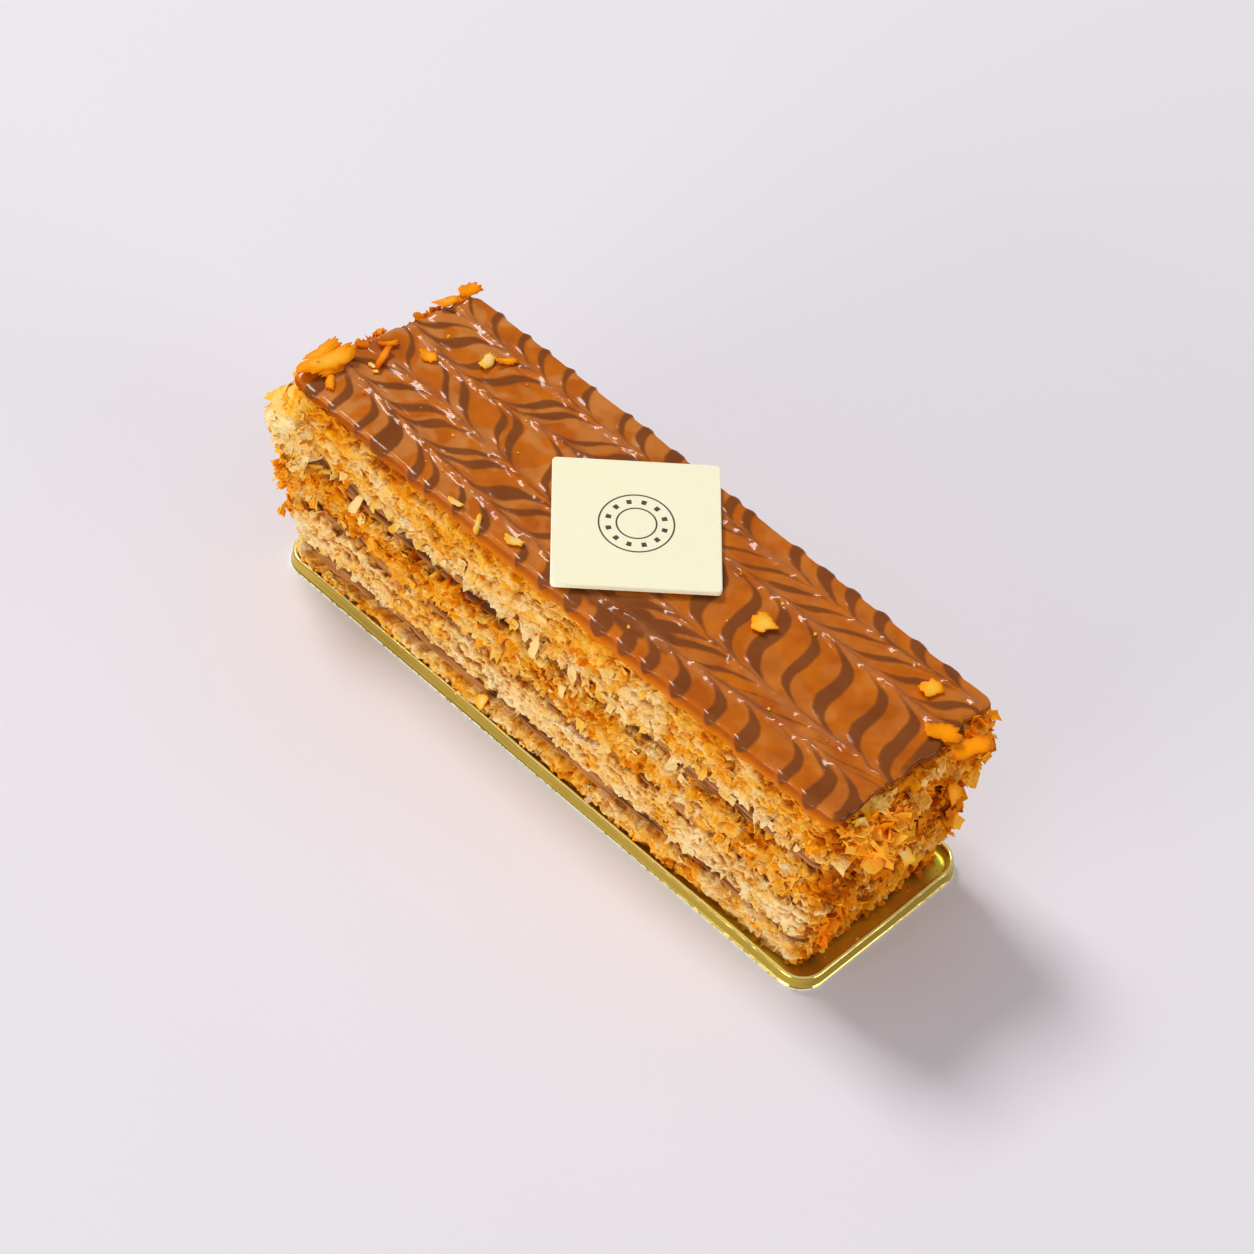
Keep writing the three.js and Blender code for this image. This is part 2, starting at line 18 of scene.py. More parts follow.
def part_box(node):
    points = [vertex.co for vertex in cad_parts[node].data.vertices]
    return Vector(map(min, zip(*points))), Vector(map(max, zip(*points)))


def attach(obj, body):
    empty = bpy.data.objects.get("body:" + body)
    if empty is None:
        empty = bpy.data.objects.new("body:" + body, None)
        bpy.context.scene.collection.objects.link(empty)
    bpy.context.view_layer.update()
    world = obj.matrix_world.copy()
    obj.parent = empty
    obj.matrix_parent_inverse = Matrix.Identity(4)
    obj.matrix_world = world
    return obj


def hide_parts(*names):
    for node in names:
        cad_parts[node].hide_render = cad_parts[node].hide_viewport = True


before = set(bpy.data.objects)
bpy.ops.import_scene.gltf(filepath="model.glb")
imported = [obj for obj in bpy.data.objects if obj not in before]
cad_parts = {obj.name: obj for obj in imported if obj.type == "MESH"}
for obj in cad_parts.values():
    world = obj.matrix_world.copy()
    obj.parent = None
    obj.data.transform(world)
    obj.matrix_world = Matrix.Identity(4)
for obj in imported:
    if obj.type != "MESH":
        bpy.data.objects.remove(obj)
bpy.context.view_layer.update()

MM = 0.001
print("nodes to dress:", sorted(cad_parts))


def box_of(node):
    """The lowest and highest corner of a construction node, in millimetres."""
    low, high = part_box(node)
    return np.array(low) / MM, np.array(high) / MM


# %% [markdown]
# ## The slice's own shape
# The slice is a long box cut at a slight angle at its far end. Four layers of pastry and three
# of cream lie on each other, thicker in one place and thinner in another, because the layers
# sag. One function gives the height of the face between two layers anywhere, so neighbours
# always meet without a gap.

# %% Sizes of the slice
SLICE = {"length": 125.5, "width": 37.4, "skew": 6.7, "corner": 2.5, "x": 0.3, "y": 1.6}
STATION = 55.0                     # the end thicknesses are those this far from the middle
FOOD_BASE = box_of("pastry_bottom")[0][2]
GLAZE_TOP = 43.6
LAYERS = [
    {"name": "pastry_bottom", "thickness": (3.5, 4.5, 6.0), "insets": (0.2, 2.6, 2.2, 3.0)},
    {"name": "cream_bottom", "thickness": (2.4, 2.3, 2.0), "insets": (1.0, 3.2, 2.8, 3.8)},
    {"name": "pastry_lower", "thickness": (8.5, 7.1, 7.5), "insets": (0.3, 1.8, 1.4, 1.2)},
    {"name": "cream_middle", "thickness": (2.8, 2.4, 1.7), "insets": (1.1, 2.5, 2.1, 2.4)},
    {"name": "pastry_upper", "thickness": (7.1, 8.0, 8.3), "insets": (0.3, 1.2, 1.0, 0.4)},
    {"name": "cream_top", "thickness": (4.0, 2.3, 3.3), "insets": (1.2, 2.1, 1.8, 1.6)},
    {"name": "pastry_top", "thickness": (12.3, 14.0, 11.8), "insets": (0.3, 0.6, 0.7, 0.4)},
]
FRONT_LEAN = {"far": 1.9, "near": 0.7}     # how far the front face stands out at its foot
CORNERS = np.array([
    (SLICE["x"] - SLICE["length"] / 2 - SLICE["skew"] / 2, SLICE["y"] - SLICE["width"] / 2),
    (SLICE["x"] + SLICE["length"] / 2, SLICE["y"] - SLICE["width"] / 2),
    (SLICE["x"] + SLICE["length"] / 2, SLICE["y"] + SLICE["width"] / 2),
    (SLICE["x"] - SLICE["length"] / 2 + SLICE["skew"] / 2, SLICE["y"] + SLICE["width"] / 2),
])
print("food stands at", round(float(FOOD_BASE), 2), "mm and the glaze ends at", GLAZE_TOP, "mm")

# %% [markdown]
# ## Noise of our own
# Torn pastry is uneven at every scale. Blender has noise textures, but here the noise has to
# move the mesh itself and also tell the material which places are deep and which stand out.
# Small functions do that on whole arrays of points. The first is smooth noise, with a finer and
# fainter copy of itself laid over it where something rough is wanted.


# %% Smooth noise
def scatter(cell, seed):
    """A repeatable random number from 0 to 1 for each whole-numbered cell."""
    mask = np.uint64(0xFFFFFFFF)
    whole = cell.astype(np.int64).astype(np.uint64)
    mixed = whole[..., 0] * np.uint64(0x9E3779B1) ^ whole[..., 1] * np.uint64(0x85EBCA77)
    mixed = (mixed ^ whole[..., 2] * np.uint64(0xC2B2AE3D) ^ np.uint64(seed * 668265263)) & mask
    mixed = ((mixed ^ (mixed >> np.uint64(15))) * np.uint64(0x2C1B3C6D)) & mask
    mixed = ((mixed ^ (mixed >> np.uint64(12))) * np.uint64(0x297A2D39)) & mask
    mixed = mixed ^ (mixed >> np.uint64(15))
    return mixed.astype(float) / 4294967295.0


def smooth_noise(points, size, seed):
    """Smooth noise from -1 to 1, with bumps of the given size in millimetres."""
    place = np.asarray(points) / np.asarray(size, float)
    base = np.floor(place)
    part = place - base
    part = part * part * (3 - 2 * part)
    total = np.zeros(place.shape[:-1])
    for corner in product((0, 1), repeat=3):
        weight = np.prod(np.where(np.array(corner) == 1, part, 1 - part), axis=-1)
        total += weight * scatter(base + np.array(corner), seed)
    return 2 * total - 1


def rough_noise(points, size, seed, octaves=3):
    """Smooth noise with finer and fainter noise laid over it."""
    size = np.asarray(size, float)
    parts = [smooth_noise(points, size / 2 ** n, seed + n) / 2 ** n for n in range(octaves)]
    return sum(parts) / sum(1 / 2 ** n for n in range(octaves))


print("noise at the origin:", round(float(smooth_noise(np.zeros((1, 3)), 1, 1)[0]), 3))

# %% [markdown]
# Smooth noise alone looks like dough that was never baked. Puff pastry breaks into plates and
# splits into leaves, so there are two more patterns. One gives every cell of space a plate with
# a height and a tilt of its own. The other cuts space into thin wavy sheets and lets each sheet
# stand out by its own amount, as the edges of leaves do.

# %% Plates and the edges of leaves
def tilted_plates(points, size, seed, slope=1.8):
    """Small plates that each lie at their own height and tilt.

    Gives the height, a random value for each plate, the distance from its middle and the
    distance from its edge.
    """
    place = np.asarray(points) / np.asarray(size, float)
    base = np.floor(place)
    nearest = np.full(place.shape[:-1], 99.0)
    second = np.full(place.shape[:-1], 99.0)
    offset = np.zeros_like(place)
    home = np.zeros_like(place)
    for step in product((-1, 0, 1), repeat=3):
        cell = base + np.array(step)
        jitter = np.stack([scatter(cell, seed + n) for n in (1, 2, 3)], -1) - 0.5
        gap = place - cell - 0.5 - 0.85 * jitter
        far = np.sqrt((gap ** 2).sum(-1))
        closer = far < nearest
        second = np.where(closer, nearest, np.minimum(second, far))
        nearest = np.where(closer, far, nearest)
        offset = np.where(closer[..., None], gap, offset)
        home = np.where(closer[..., None], cell, home)
    tilt = np.stack([scatter(home, seed + n) for n in (4, 5, 6)], -1) - 0.5
    height = scatter(home, seed + 7) - 0.5 + slope * (tilt * offset).sum(-1)
    return height, scatter(home, seed + 8), nearest, second - nearest


def leaf_edges(points, thickness, along, seed):
    """The edges of thin leaves that lie on each other, each standing out by its own amount.

    Gives how far a point stands out, from -1 to 1, a random value for each leaf, and how near
    the point is to the line between two leaves, from 0 to 1.
    """
    wave = 0.8 * thickness * rough_noise(points, (5, 5, 2.5), seed)
    level = (points[..., 2] + wave) / thickness
    leaf = np.floor(level)
    place = np.stack([points[..., 0] / along, points[..., 1] / along, leaf], -1)
    stand = 0.75 * smooth_noise(place, 1, seed + 5)
    stand = stand + 0.45 * smooth_noise(place, (0.4, 0.4, 1), seed + 6)
    tone = scatter(np.floor(place / (2, 2, 1)), seed + 7)
    return stand, tone, np.abs(2 * (level - leaf) - 1)


print("one plate's height:", round(float(tilted_plates(np.zeros((1, 3)), 1, 1)[0][0]), 3))

# %% [markdown]
# ## Outlines and layer faces
# A layer is wrapped by one closed line, a box with rounded corners whose sides each stand back
# by their own amount. Walking along it at a fixed step gives every layer the same fine grid,
# whatever its size.

# %% Outline of a layer
STEP = 0.26                        # distance between neighbouring points of the fine meshes


def inset_corners(corners, insets):
    """The corners after each side has moved in by its own inset."""
    count = len(corners)
    along = np.roll(corners, -1, 0) - corners
    along /= np.linalg.norm(along, axis=1)[:, None]
    normals = np.stack([along[:, 1], -along[:, 0]], -1)
    reach = (corners * normals).sum(1) - np.asarray(insets, float)
    moved = []
    for n in range(count):
        pair = np.array([normals[n - 1], normals[n]])
        moved.append(np.linalg.solve(pair, np.array([reach[n - 1], reach[n]])))
    return np.array(moved), normals


def rounded_outline(corners, insets, radius, step=STEP):
    """Points along a rounded outline, anticlockwise, with the outward normal of each."""
    moved, normals = inset_corners(corners, np.asarray(insets, float))
    centres, _ = inset_corners(corners, np.asarray(insets, float) + radius)
    count = len(moved)
    points, outward = [], []
    for n in range(count):
        first = math.atan2(normals[n - 1][1], normals[n - 1][0])
        turn = (math.atan2(normals[n][1], normals[n][0]) - first) % (2 * math.pi)
        pieces = max(3, round(radius * turn / step))
        for angle in first + turn * np.arange(pieces) / pieces:
            outward.append((math.cos(angle), math.sin(angle)))
            points.append(centres[n] + radius * np.array(outward[-1]))
        start = centres[n] + radius * normals[n]
        end = centres[(n + 1) % count] + radius * normals[n]
        pieces = max(2, round(float(np.linalg.norm(end - start)) / step))
        for share in np.arange(pieces) / pieces:
            outward.append(tuple(normals[n]))
            points.append(start + share * (end - start))
    return np.array(points), np.array(outward)


def resampled(ring, count):
    """The same closed ring with another number of points."""
    spot = np.linspace(0, len(ring), count, endpoint=False)
    table = np.arange(len(ring) + 1)
    return np.stack([np.interp(spot, table, np.append(ring[:, n], ring[0, n])) for n in (0, 1)], -1)


def along_slice(values, x):
    """A value on a smooth curve through its far, middle and near values."""
    far, middle, near = values
    u = x / STATION
    return middle + (near - far) / 2 * u + ((near + far) / 2 - middle) * u * u


def face_height(k, x, y):
    """The height of the uneven face between layer k - 1 and layer k."""
    level = FOOD_BASE + sum(along_slice(layer["thickness"], x) for layer in LAYERS[:k])
    if k in (0, len(LAYERS)):
        return level
    place = np.stack([x, y, np.full_like(x, 10.0 * k)], -1)
    sag = 0.5 * smooth_noise(place, (13, 13, 13), 40 + k)
    return level + sag + 0.25 * smooth_noise(place, 4, 60 + k)


def front_lean(points, outward, z):
    """How far the front face stands out at a height."""
    near = np.clip(points[:, 0] / SLICE["length"] + 0.5, 0, 1)
    lean = FRONT_LEAN["far"] + (FRONT_LEAN["near"] - FRONT_LEAN["far"]) * near
    return lean * (1 - z / GLAZE_TOP) * np.maximum(0, -outward[:, 1])


outline, _ = rounded_outline(CORNERS, (0, 0, 0, 0), SLICE["corner"])
print("points once round the slice:", len(outline))

# %% [markdown]
# ## From rings of points to a mesh
# Every layer is a stack of rings: one well inside the underside, then rows up the side, and one
# well inside the top. Quads join each ring to the next, and one face closes each end, so the
# mesh has no holes.


# %% Mesh helpers
def ring_faces(rows, columns, start=0):
    """Quads between rings that lie one above the other, each ring closed on itself."""
    row, column = np.meshgrid(np.arange(rows - 1), np.arange(columns), indexing="ij")
    right = (column + 1) % columns
    quads = [row * columns + column, row * columns + right, (row + 1) * columns + right]
    quads.append((row + 1) * columns + column)
    return (np.stack(quads, -1).reshape(-1, 4) + start).tolist()


def closed_faces(rows, columns):
    """The quads of a stack of rings with both of its ends closed."""
    faces = ring_faces(rows, columns)
    faces.append(list(range(columns))[::-1])
    faces.append(list(range((rows - 1) * columns, rows * columns)))
    return faces


def new_piece(name, points, faces, material, smooth=True, marks=None):
    """A mesh object in the scene, with a value for each point under each mark's name."""
    mesh = bpy.data.meshes.new(name)
    mesh.from_pydata((np.asarray(points, float).reshape(-1, 3) * MM).tolist(), [], faces)
    shading = np.broadcast_to(np.asarray(smooth, bool), (len(mesh.polygons),))
    mesh.polygons.foreach_set("use_smooth", np.ascontiguousarray(shading))
    for mark, values in (marks or {}).items():
        layer = mesh.attributes.new(mark, "FLOAT", "POINT")
        layer.data.foreach_set("value", np.asarray(values, np.float32).ravel())
    mesh.materials.append(material)
    mesh.update()
    piece = bpy.data.objects.new(name, mesh)
    bpy.context.scene.collection.objects.link(piece)
    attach(piece, "root")
    print(name, "has", sum(len(face) - 2 for face in faces), "triangles")
    return piece


# %% [markdown]
# ## Small tools for nodes
# A material in Blender is a graph of nodes. Wiring one by hand in the editor is quick, but here
# seven different finishes need the same few steps, so each step is a function: make a node, fill
# a socket, do a sum, read a noise.


# %% Node helpers
def connect(tree, output, target):
    tree.links.new(output, target)


def new_node(tree, kind, **values):
    """A node with some of its inputs or settings given by name."""
    node = tree.nodes.new(kind)
    for name, value in values.items():
        key = name.replace("_", " ")
        if key in node.inputs:
            node.inputs[key].default_value = value
        else:
            setattr(node, name, value)
    return node


def fill_socket(tree, socket, value):
    """Links a socket to another socket, or sets it to a fixed value."""
    if isinstance(value, bpy.types.NodeSocket):
        connect(tree, value, socket)
    else:
        socket.default_value = value


def calculate(tree, operation, *values, clamp=False):
    """One step of arithmetic on sockets or numbers."""
    node = new_node(tree, "ShaderNodeMath", operation=operation, use_clamp=clamp)
    for socket, value in zip(node.inputs, values):
        fill_socket(tree, socket, value)
    return node.outputs[0]


def noise_texture(tree, vector, scale, detail, roughness=0.5, distortion=0.0):
    """Blender's own noise, read at a vector; scale is in bumps to the metre."""
    noise = new_node(tree, "ShaderNodeTexNoise", Scale=scale, Detail=detail, Roughness=roughness,
                     Distortion=distortion)
    connect(tree, vector, noise.inputs["Vector"])
    return noise.outputs["Fac"]


print("tools for nodes:", [tool.__name__ for tool in (new_node, calculate, noise_texture)])

# %% [markdown]
# ## The grain that all baked dough shares
# Baked dough is mottled at several scales, and its surface is grainy. The pastry, the flakes and
# even the cream need that, so it is one node group: it takes how fine the patches are and gives
# out two masks and a height. Broad noise is the mottling, fine noise the grain, and the cells of
# a Voronoi texture add the pits. The shader itself stays in each material.

# %% Node group: baked grain
def make_grain_group():
    """Mottling and fine grain over any surface."""
    group = bpy.data.node_groups.new("baked_grain", "ShaderNodeTree")
    face = group.interface
    size = face.new_socket("Fineness", in_out="INPUT", socket_type="NodeSocketFloat")
    size.default_value = 1.0
    for name in ("Mottle", "Grain", "Height"):
        face.new_socket(name, in_out="OUTPUT", socket_type="NodeSocketFloat")
    entry = new_node(group, "NodeGroupInput")
    leave = new_node(group, "NodeGroupOutput")
    coordinates = new_node(group, "ShaderNodeTexCoord")
    scaled = new_node(group, "ShaderNodeVectorMath", operation="SCALE")
    connect(group, coordinates.outputs["Object"], scaled.inputs[0])
    connect(group, entry.outputs["Fineness"], scaled.inputs["Scale"])
    pits = new_node(group, "ShaderNodeTexVoronoi", Scale=1500.0)
    connect(group, scaled.outputs[0], pits.inputs["Vector"])
    mottle = noise_texture(group, scaled.outputs[0], 420.0, 2.0)
    grain = noise_texture(group, scaled.outputs[0], 2200.0, 3.0, 0.65)
    height = calculate(group, "MULTIPLY_ADD", grain, 0.8, pits.outputs["Distance"])
    for name, value in (("Mottle", mottle), ("Grain", grain), ("Height", height)):
        connect(group, value, leave.inputs[name])
    return group


GRAIN = make_grain_group()
print("node group:", GRAIN.name, [item.name for item in GRAIN.interface.items_tree])

# %% [markdown]
# ## Colours
# Colours are written as they look on a screen, from 0 to 255, and turned into the linear
# numbers that a renderer works with.


# %% Colour helpers
def colour(red, green, blue):
    """A linear colour with alpha from screen values."""
    linear = []
    for value in (red, green, blue):
        share = value / 255
        linear.append(share / 12.92 if share <= 0.04045 else ((share + 0.055) / 1.055) ** 2.4)
    return (*linear, 1.0)


print("mid grey is", round(colour(128, 128, 128)[0], 3), "in linear light")

# %% [markdown]
# Every material here but the floor's is finished the same way: a colour, a roughness, and a
# bump whose height comes from the material's own texture. A principled shader takes all three.
# The values that are the same all over the surface, such as the light that passes through, are
# set on the shader's own sockets.

# %% Material helpers
def new_material(name):
    """An empty material with a principled shader: the material, its tree and the shader."""
    material = bpy.data.materials.new(name)
    material.use_nodes = True
    tree = material.node_tree
    return material, tree, tree.nodes["Principled BSDF"]


def colour_ramp(tree, value, *stops):
    """The colour at a value, on a ramp through colours at given places."""
    ramp = new_node(tree, "ShaderNodeValToRGB")
    bar = ramp.color_ramp
    while len(bar.elements) < len(stops):
        bar.elements.new(0.5)
    for element, (position, tint) in zip(bar.elements, stops):
        element.position = position
        element.color = tint
    connect(tree, value, ramp.inputs[0])
    return ramp.outputs[0]


def mix_colours(tree, share, first, second, blend="MIX"):
    """Mixes two colours, each a socket or a fixed colour; share is a socket or a number."""
    node = new_node(tree, "ShaderNodeMix", data_type="RGBA", blend_type=blend)
    for number, value in ((0, share), (6, first), (7, second)):
        fill_socket(tree, node.inputs[number], value)
    return node.outputs[2]


def map_range(tree, value, start, end, low=0.0, high=1.0, kind="LINEAR"):
    """Maps start..end to low..high and holds it there."""
    node = new_node(tree, "ShaderNodeMapRange", interpolation_type=kind, From_Min=start,
                    From_Max=end, To_Min=low, To_Max=high)
    connect(tree, value, node.inputs["Value"])
    return node.outputs[0]


def mark_value(tree, name):
    """The value that the mesh holds under a mark's name."""
    return new_node(tree, "ShaderNodeAttribute", attribute_name=name).outputs["Fac"]


def object_place(tree):
    """The place on the object itself, so that a texture stays with it."""
    return new_node(tree, "ShaderNodeTexCoord").outputs["Object"]


def place_grain(tree, fineness):
    """The baked grain group, finer with a higher number: its mottling, grain and height."""
    return new_node(tree, "ShaderNodeGroup", node_tree=GRAIN, Fineness=fineness).outputs


def finish_surface(tree, shader, tint, roughness, height, strength, distance):
    """Colour, roughness and a bump; the bump's distance is in millimetres."""
    connect(tree, tint, shader.inputs["Base Color"])
    connect(tree, roughness, shader.inputs["Roughness"])
    bump = new_node(tree, "ShaderNodeBump", Strength=strength, Distance=distance * MM)
    connect(tree, height, bump.inputs["Height"])
    connect(tree, bump.outputs[0], shader.inputs["Normal"])


def let_light_in(shader, weight, radius, scale, specular):
    """Light that passes through the surface, with its reach in millimetres, and its shine."""
    shader.inputs["Subsurface Weight"].default_value = weight
    shader.inputs["Subsurface Radius"].default_value = radius
    shader.inputs["Subsurface Scale"].default_value = scale * MM
    shader.inputs["Specular IOR Level"].default_value = specular



# %% [markdown]
# ## Pastry material
# The colour of a leaf of pastry says how long the oven's heat has reached it: ivory inside the
# layers, golden near the edges and orange brown where it stood out. The mesh says how toasted
# each point is, and a ramp turns that into colour. The mesh also says how deep each point lies,
# and a second ramp paints shade there, darker where the fine grain dips. The grain group adds
# the mottling. A little light passes through the thin leaves, so the shader has some subsurface.


# %% Pastry materials
def pastry_material(name):
    """Baked pastry, coloured by how toasted each point is, with painted shade where it lies deep."""
    material, tree, shader = new_material(name)
    grain = place_grain(tree, 1.0)
    mottled = calculate(tree, "MULTIPLY_ADD", grain["Mottle"], 0.36, mark_value(tree, "toast"))
    toasted = calculate(tree, "ADD", mottled, -0.18, clamp=True)
    baked = colour_ramp(
        tree, toasted,
        (0.0, colour(255, 227, 174)), (0.25, colour(255, 212, 136)), (0.5, colour(255, 190, 68)),
        (0.7, colour(248, 158, 4)), (0.86, colour(212, 106, 0)), (1.0, colour(136, 56, 0)))
    # Painted shade: the depth mark and the low spots of the grain darken the colour towards brown.
    depth = calculate(tree, "ADD", mark_value(tree, "depth"), 0.2)
    darker = calculate(tree, "MULTIPLY_ADD", grain["Grain"], -0.45, depth, clamp=True)
    shade = colour_ramp(tree, darker, (0.0, colour(255, 255, 255)), (0.5, colour(222, 192, 140)),
                        (1.0, colour(158, 96, 28)))
    tint = mix_colours(tree, 1.0, baked, shade, "MULTIPLY")
    roughness = calculate(tree, "MULTIPLY_ADD", grain["Grain"], -0.25, 0.87)
    finish_surface(tree, shader, tint, roughness, grain["Height"], 0.8, 0.2)
    let_light_in(shader, 0.22, (1.0, 0.45, 0.1), 0.6, 0.08)
    return material


PASTRY = {}
for layer in LAYERS:
    if layer["name"].startswith("pastry"):
        PASTRY[layer["name"]] = pastry_material(layer["name"] + "_baked")
print("pastry materials:", list(PASTRY))

# %% [markdown]
# ## Leaves of pastry
# What makes puff pastry look like puff pastry is its leaves: thin curled plates with torn
# edges, standing out of the side. A leaf is a small curved sheet with a front, a back and a
# rim. All the leaves of a layer are made in one go with arrays, rooted on its side, and joined
# into the layer's own mesh. Placing them by hand or as particles would leave them apart from it.

# %% Leaves
LEAF_ACROSS, LEAF_ALONG = 3, 3     # points across and along one leaf


def leaf_faces():
    """The faces of one leaf, whose front points come first and its back points after."""
    count = LEAF_ACROSS * LEAF_ALONG
    faces = []
    for i, j in product(range(LEAF_ACROSS - 1), range(LEAF_ALONG - 1)):
        a, b = i * LEAF_ALONG + j, (i + 1) * LEAF_ALONG + j
        faces.append([a, b, b + 1, a + 1])
        faces.append([count + a + 1, count + b + 1, count + b, count + a])
    rim = [i * LEAF_ALONG for i in range(LEAF_ACROSS)]
    rim += [(LEAF_ACROSS - 1) * LEAF_ALONG + j for j in range(1, LEAF_ALONG)]
    rim += [i * LEAF_ALONG + LEAF_ALONG - 1 for i in range(LEAF_ACROSS - 2, -1, -1)]
    rim += [j for j in range(LEAF_ALONG - 2, 0, -1)]
    for n, a in enumerate(rim):
        b = rim[(n + 1) % len(rim)]
        faces.append([b, a, count + a, count + b])
    return np.array(faces)


LEAF_FACES = leaf_faces()


def unit(vectors):
    return vectors / np.linalg.norm(vectors, axis=-1, keepdims=True)


def make_leaves(random, roots, outward, length, width, tilt, turn, thickness, curl=0.5):
    """Curled torn leaves rooted at points of a side: their points and faces."""
    count = len(roots)
    up = np.array([0.0, 0.0, 1.0])
    side = unit(np.cross(up, outward))
    spun = side * np.cos(turn)[:, None] + up * np.sin(turn)[:, None]
    rise = unit(np.cross(outward, spun))
    free = outward * np.cos(tilt)[:, None] + rise * np.sin(tilt)[:, None]
    thick = unit(np.cross(spun, free))
    u = np.linspace(-0.5, 0.5, LEAF_ACROSS)[None, :, None]
    v = np.linspace(0, 1, LEAF_ALONG)[None, None, :]
    shape = (count, LEAF_ACROSS, LEAF_ALONG)
    taper = 1 - v ** 2 * random.uniform(0.1, 0.6, (count, 1, 1))
    a = length[:, None, None] * (u * taper + random.uniform(-0.14, 0.14, shape))
    b = width[:, None, None] * (v * (1 + random.uniform(-0.35, 0.35, shape)) - 0.3)
    bend = curl * random.uniform(-1, 1, (count, 1, 1))
    cup = random.uniform(-0.9, 0.9, (count, 1, 1))
    c = width[:, None, None] * (bend * v ** 2 + cup * u ** 2 + random.uniform(-0.05, 0.05, shape))
    middle = (roots[:, None, None] + a[..., None] * spun[:, None, None]
              + b[..., None] * free[:, None, None] + c[..., None] * thick[:, None, None])
    half = (thickness / 2) * thick[:, None, None]
    sheets = [(middle + half).reshape(count, -1, 3), (middle - half).reshape(count, -1, 3)]
    points = np.concatenate(sheets, 1)
    faces = LEAF_FACES[None] + (np.arange(count) * points.shape[1])[:, None, None]
    return points.reshape(-1, 3), faces.reshape(-1, 4), points.shape[1]


print("faces on one leaf:", len(LEAF_FACES))

# %% [markdown]
# ## Building a layer of pastry
# The side of a layer could be sculpted by hand, or a displacement modifier could push it about.
# Moving the points in code does the same and keeps the true depth, from which the material
# paints shade into the deep places. Each layer has its own depth of crag, its own toast and its
# own number of leaves. Over all of them lie a few large swellings and hollows, set at their own
# places, because those are what the eye finds first.

# %% How each layer looks
PASTRY_LOOK = {
    "pastry_bottom": {"crag": 0.5, "plates": 0.5, "toast": 0.42, "rise": -0.05, "spread": 0.3,
                      "leaves": 1300, "fringe": 60, "leaf": (0.4, 1.3), "hang": 0.6},
    "pastry_lower": {"crag": 0.62, "plates": 0.4, "toast": 0.22, "rise": 0.12, "spread": 0.14,
                     "leaves": 560, "fringe": 190, "leaf": (0.5, 1.4), "hang": 1.5},
    "pastry_upper": {"crag": 0.95, "plates": 1.1, "toast": 0.56, "rise": 0.05, "spread": 0.28,
                     "leaves": 1300, "fringe": 260, "leaf": (0.8, 2.4), "hang": 2.0},
    "pastry_top": {"crag": 0.85, "plates": 1.0, "toast": 0.42, "rise": 0.42, "spread": 0.24,
                   "leaves": 1250, "fringe": 340, "leaf": (0.8, 2.4), "hang": 2.0},
}
CRAG = {"long": 1.1, "end": 1.7}           # how deep the torn sides are
# A hollow, pushed in, also gets more toast and with it more depth: that darkening is painted shade. The
# change of toast on a swelling is the crust's own colour.
SWELLINGS = [                              # place, reach along and up, how far out, change of toast
    (CORNERS[0][0] + 1.0, CORNERS[0][1] + 1.0, 34.8, 4.6, 5.4, 6.2, -0.22),
    (CORNERS[0][0] + 0.5, CORNERS[0][1] + 0.5, 23.5, 4.5, 5.0, 2.6, 0.1),
    (CORNERS[0][0] + 0.5, CORNERS[0][1] + 0.5, 12.0, 4.0, 3.5, 1.0, 0.0),
    (CORNERS[2][0], CORNERS[2][1] - 3.0, 37.5, 7.0, 5.5, 1.9, 0.2),
    (62.5, -6.0, 34.0, 3.4, 3.6, 2.4, 0.35),
    (62.5, -0.4, 38.0, 2.3, 2.3, -3.8, 0.5),
    (62.5, 3.5, 37.0, 2.6, 2.4, 0.6, -0.3),
    (62.5, -10.0, 22.5, 2.4, 1.8, -2.6, 0.2),
    (62.5, 14.0, 26.0, 7.0, 3.0, -1.4, 0.1),
    (62.0, 6.0, 15.0, 2.0, 1.6, -2.0, 0.2),
    (62.5, 9.5, 31.0, 1.8, 1.6, -2.0, 0.2),
    (-64.5, -13.0, 36.7, 1.8, 1.5, -2.4, 0.3),
    (-63.5, -15.0, 22.0, 2.0, 1.6, -2.2, 0.3),
    (-12.0, -17.6, 21.7, 1.6, 1.1, -1.3, 0.4),
    (-1.0, -17.5, 21.5, 2.5, 1.9, -1.3, 0.4),
    (50.0, -17.8, 10.7, 1.3, 1.1, 0.4, 0.5),
    (55.0, -17.4, 25.3, 1.5, 1.2, 0.9, -0.5),
    (3.5, -17.2, 32.0, 1.0, 0.7, -1.4, 0.2),
    (9.0, -17.2, 29.0, 0.8, 0.6, -1.4, 0.2),
    (33.3, -17.1, 32.3, 1.0, 0.6, -1.4, 0.2),
    (58.0, -17.1, 31.3, 0.7, 0.6, -1.4, 0.2),
]
RIM_HEIGHT = box_of("card_case")[1][2]
UNDER_GLAZE = 42.6                 # the pastry ends here, inside the glaze
HIGHEST_LEAF = 41.4                # the leaves stay below the glaze's top
LIP_FROM = 38.0                    # the top layer draws back under the glaze's lip from here up
print("swellings and hollows placed:", len(SWELLINGS))

# %% [markdown]
# The torn side itself is a height field wrapped round the layer. Every point knows its share of
# the layer's height, which way is out and how far along the slice it lies, and the noises are
# added up from the broadest to the finest. What stands out has been toasted, and what lies deep
# gets painted shade, so the same sums also give the two values that colour it.

# %% The torn side


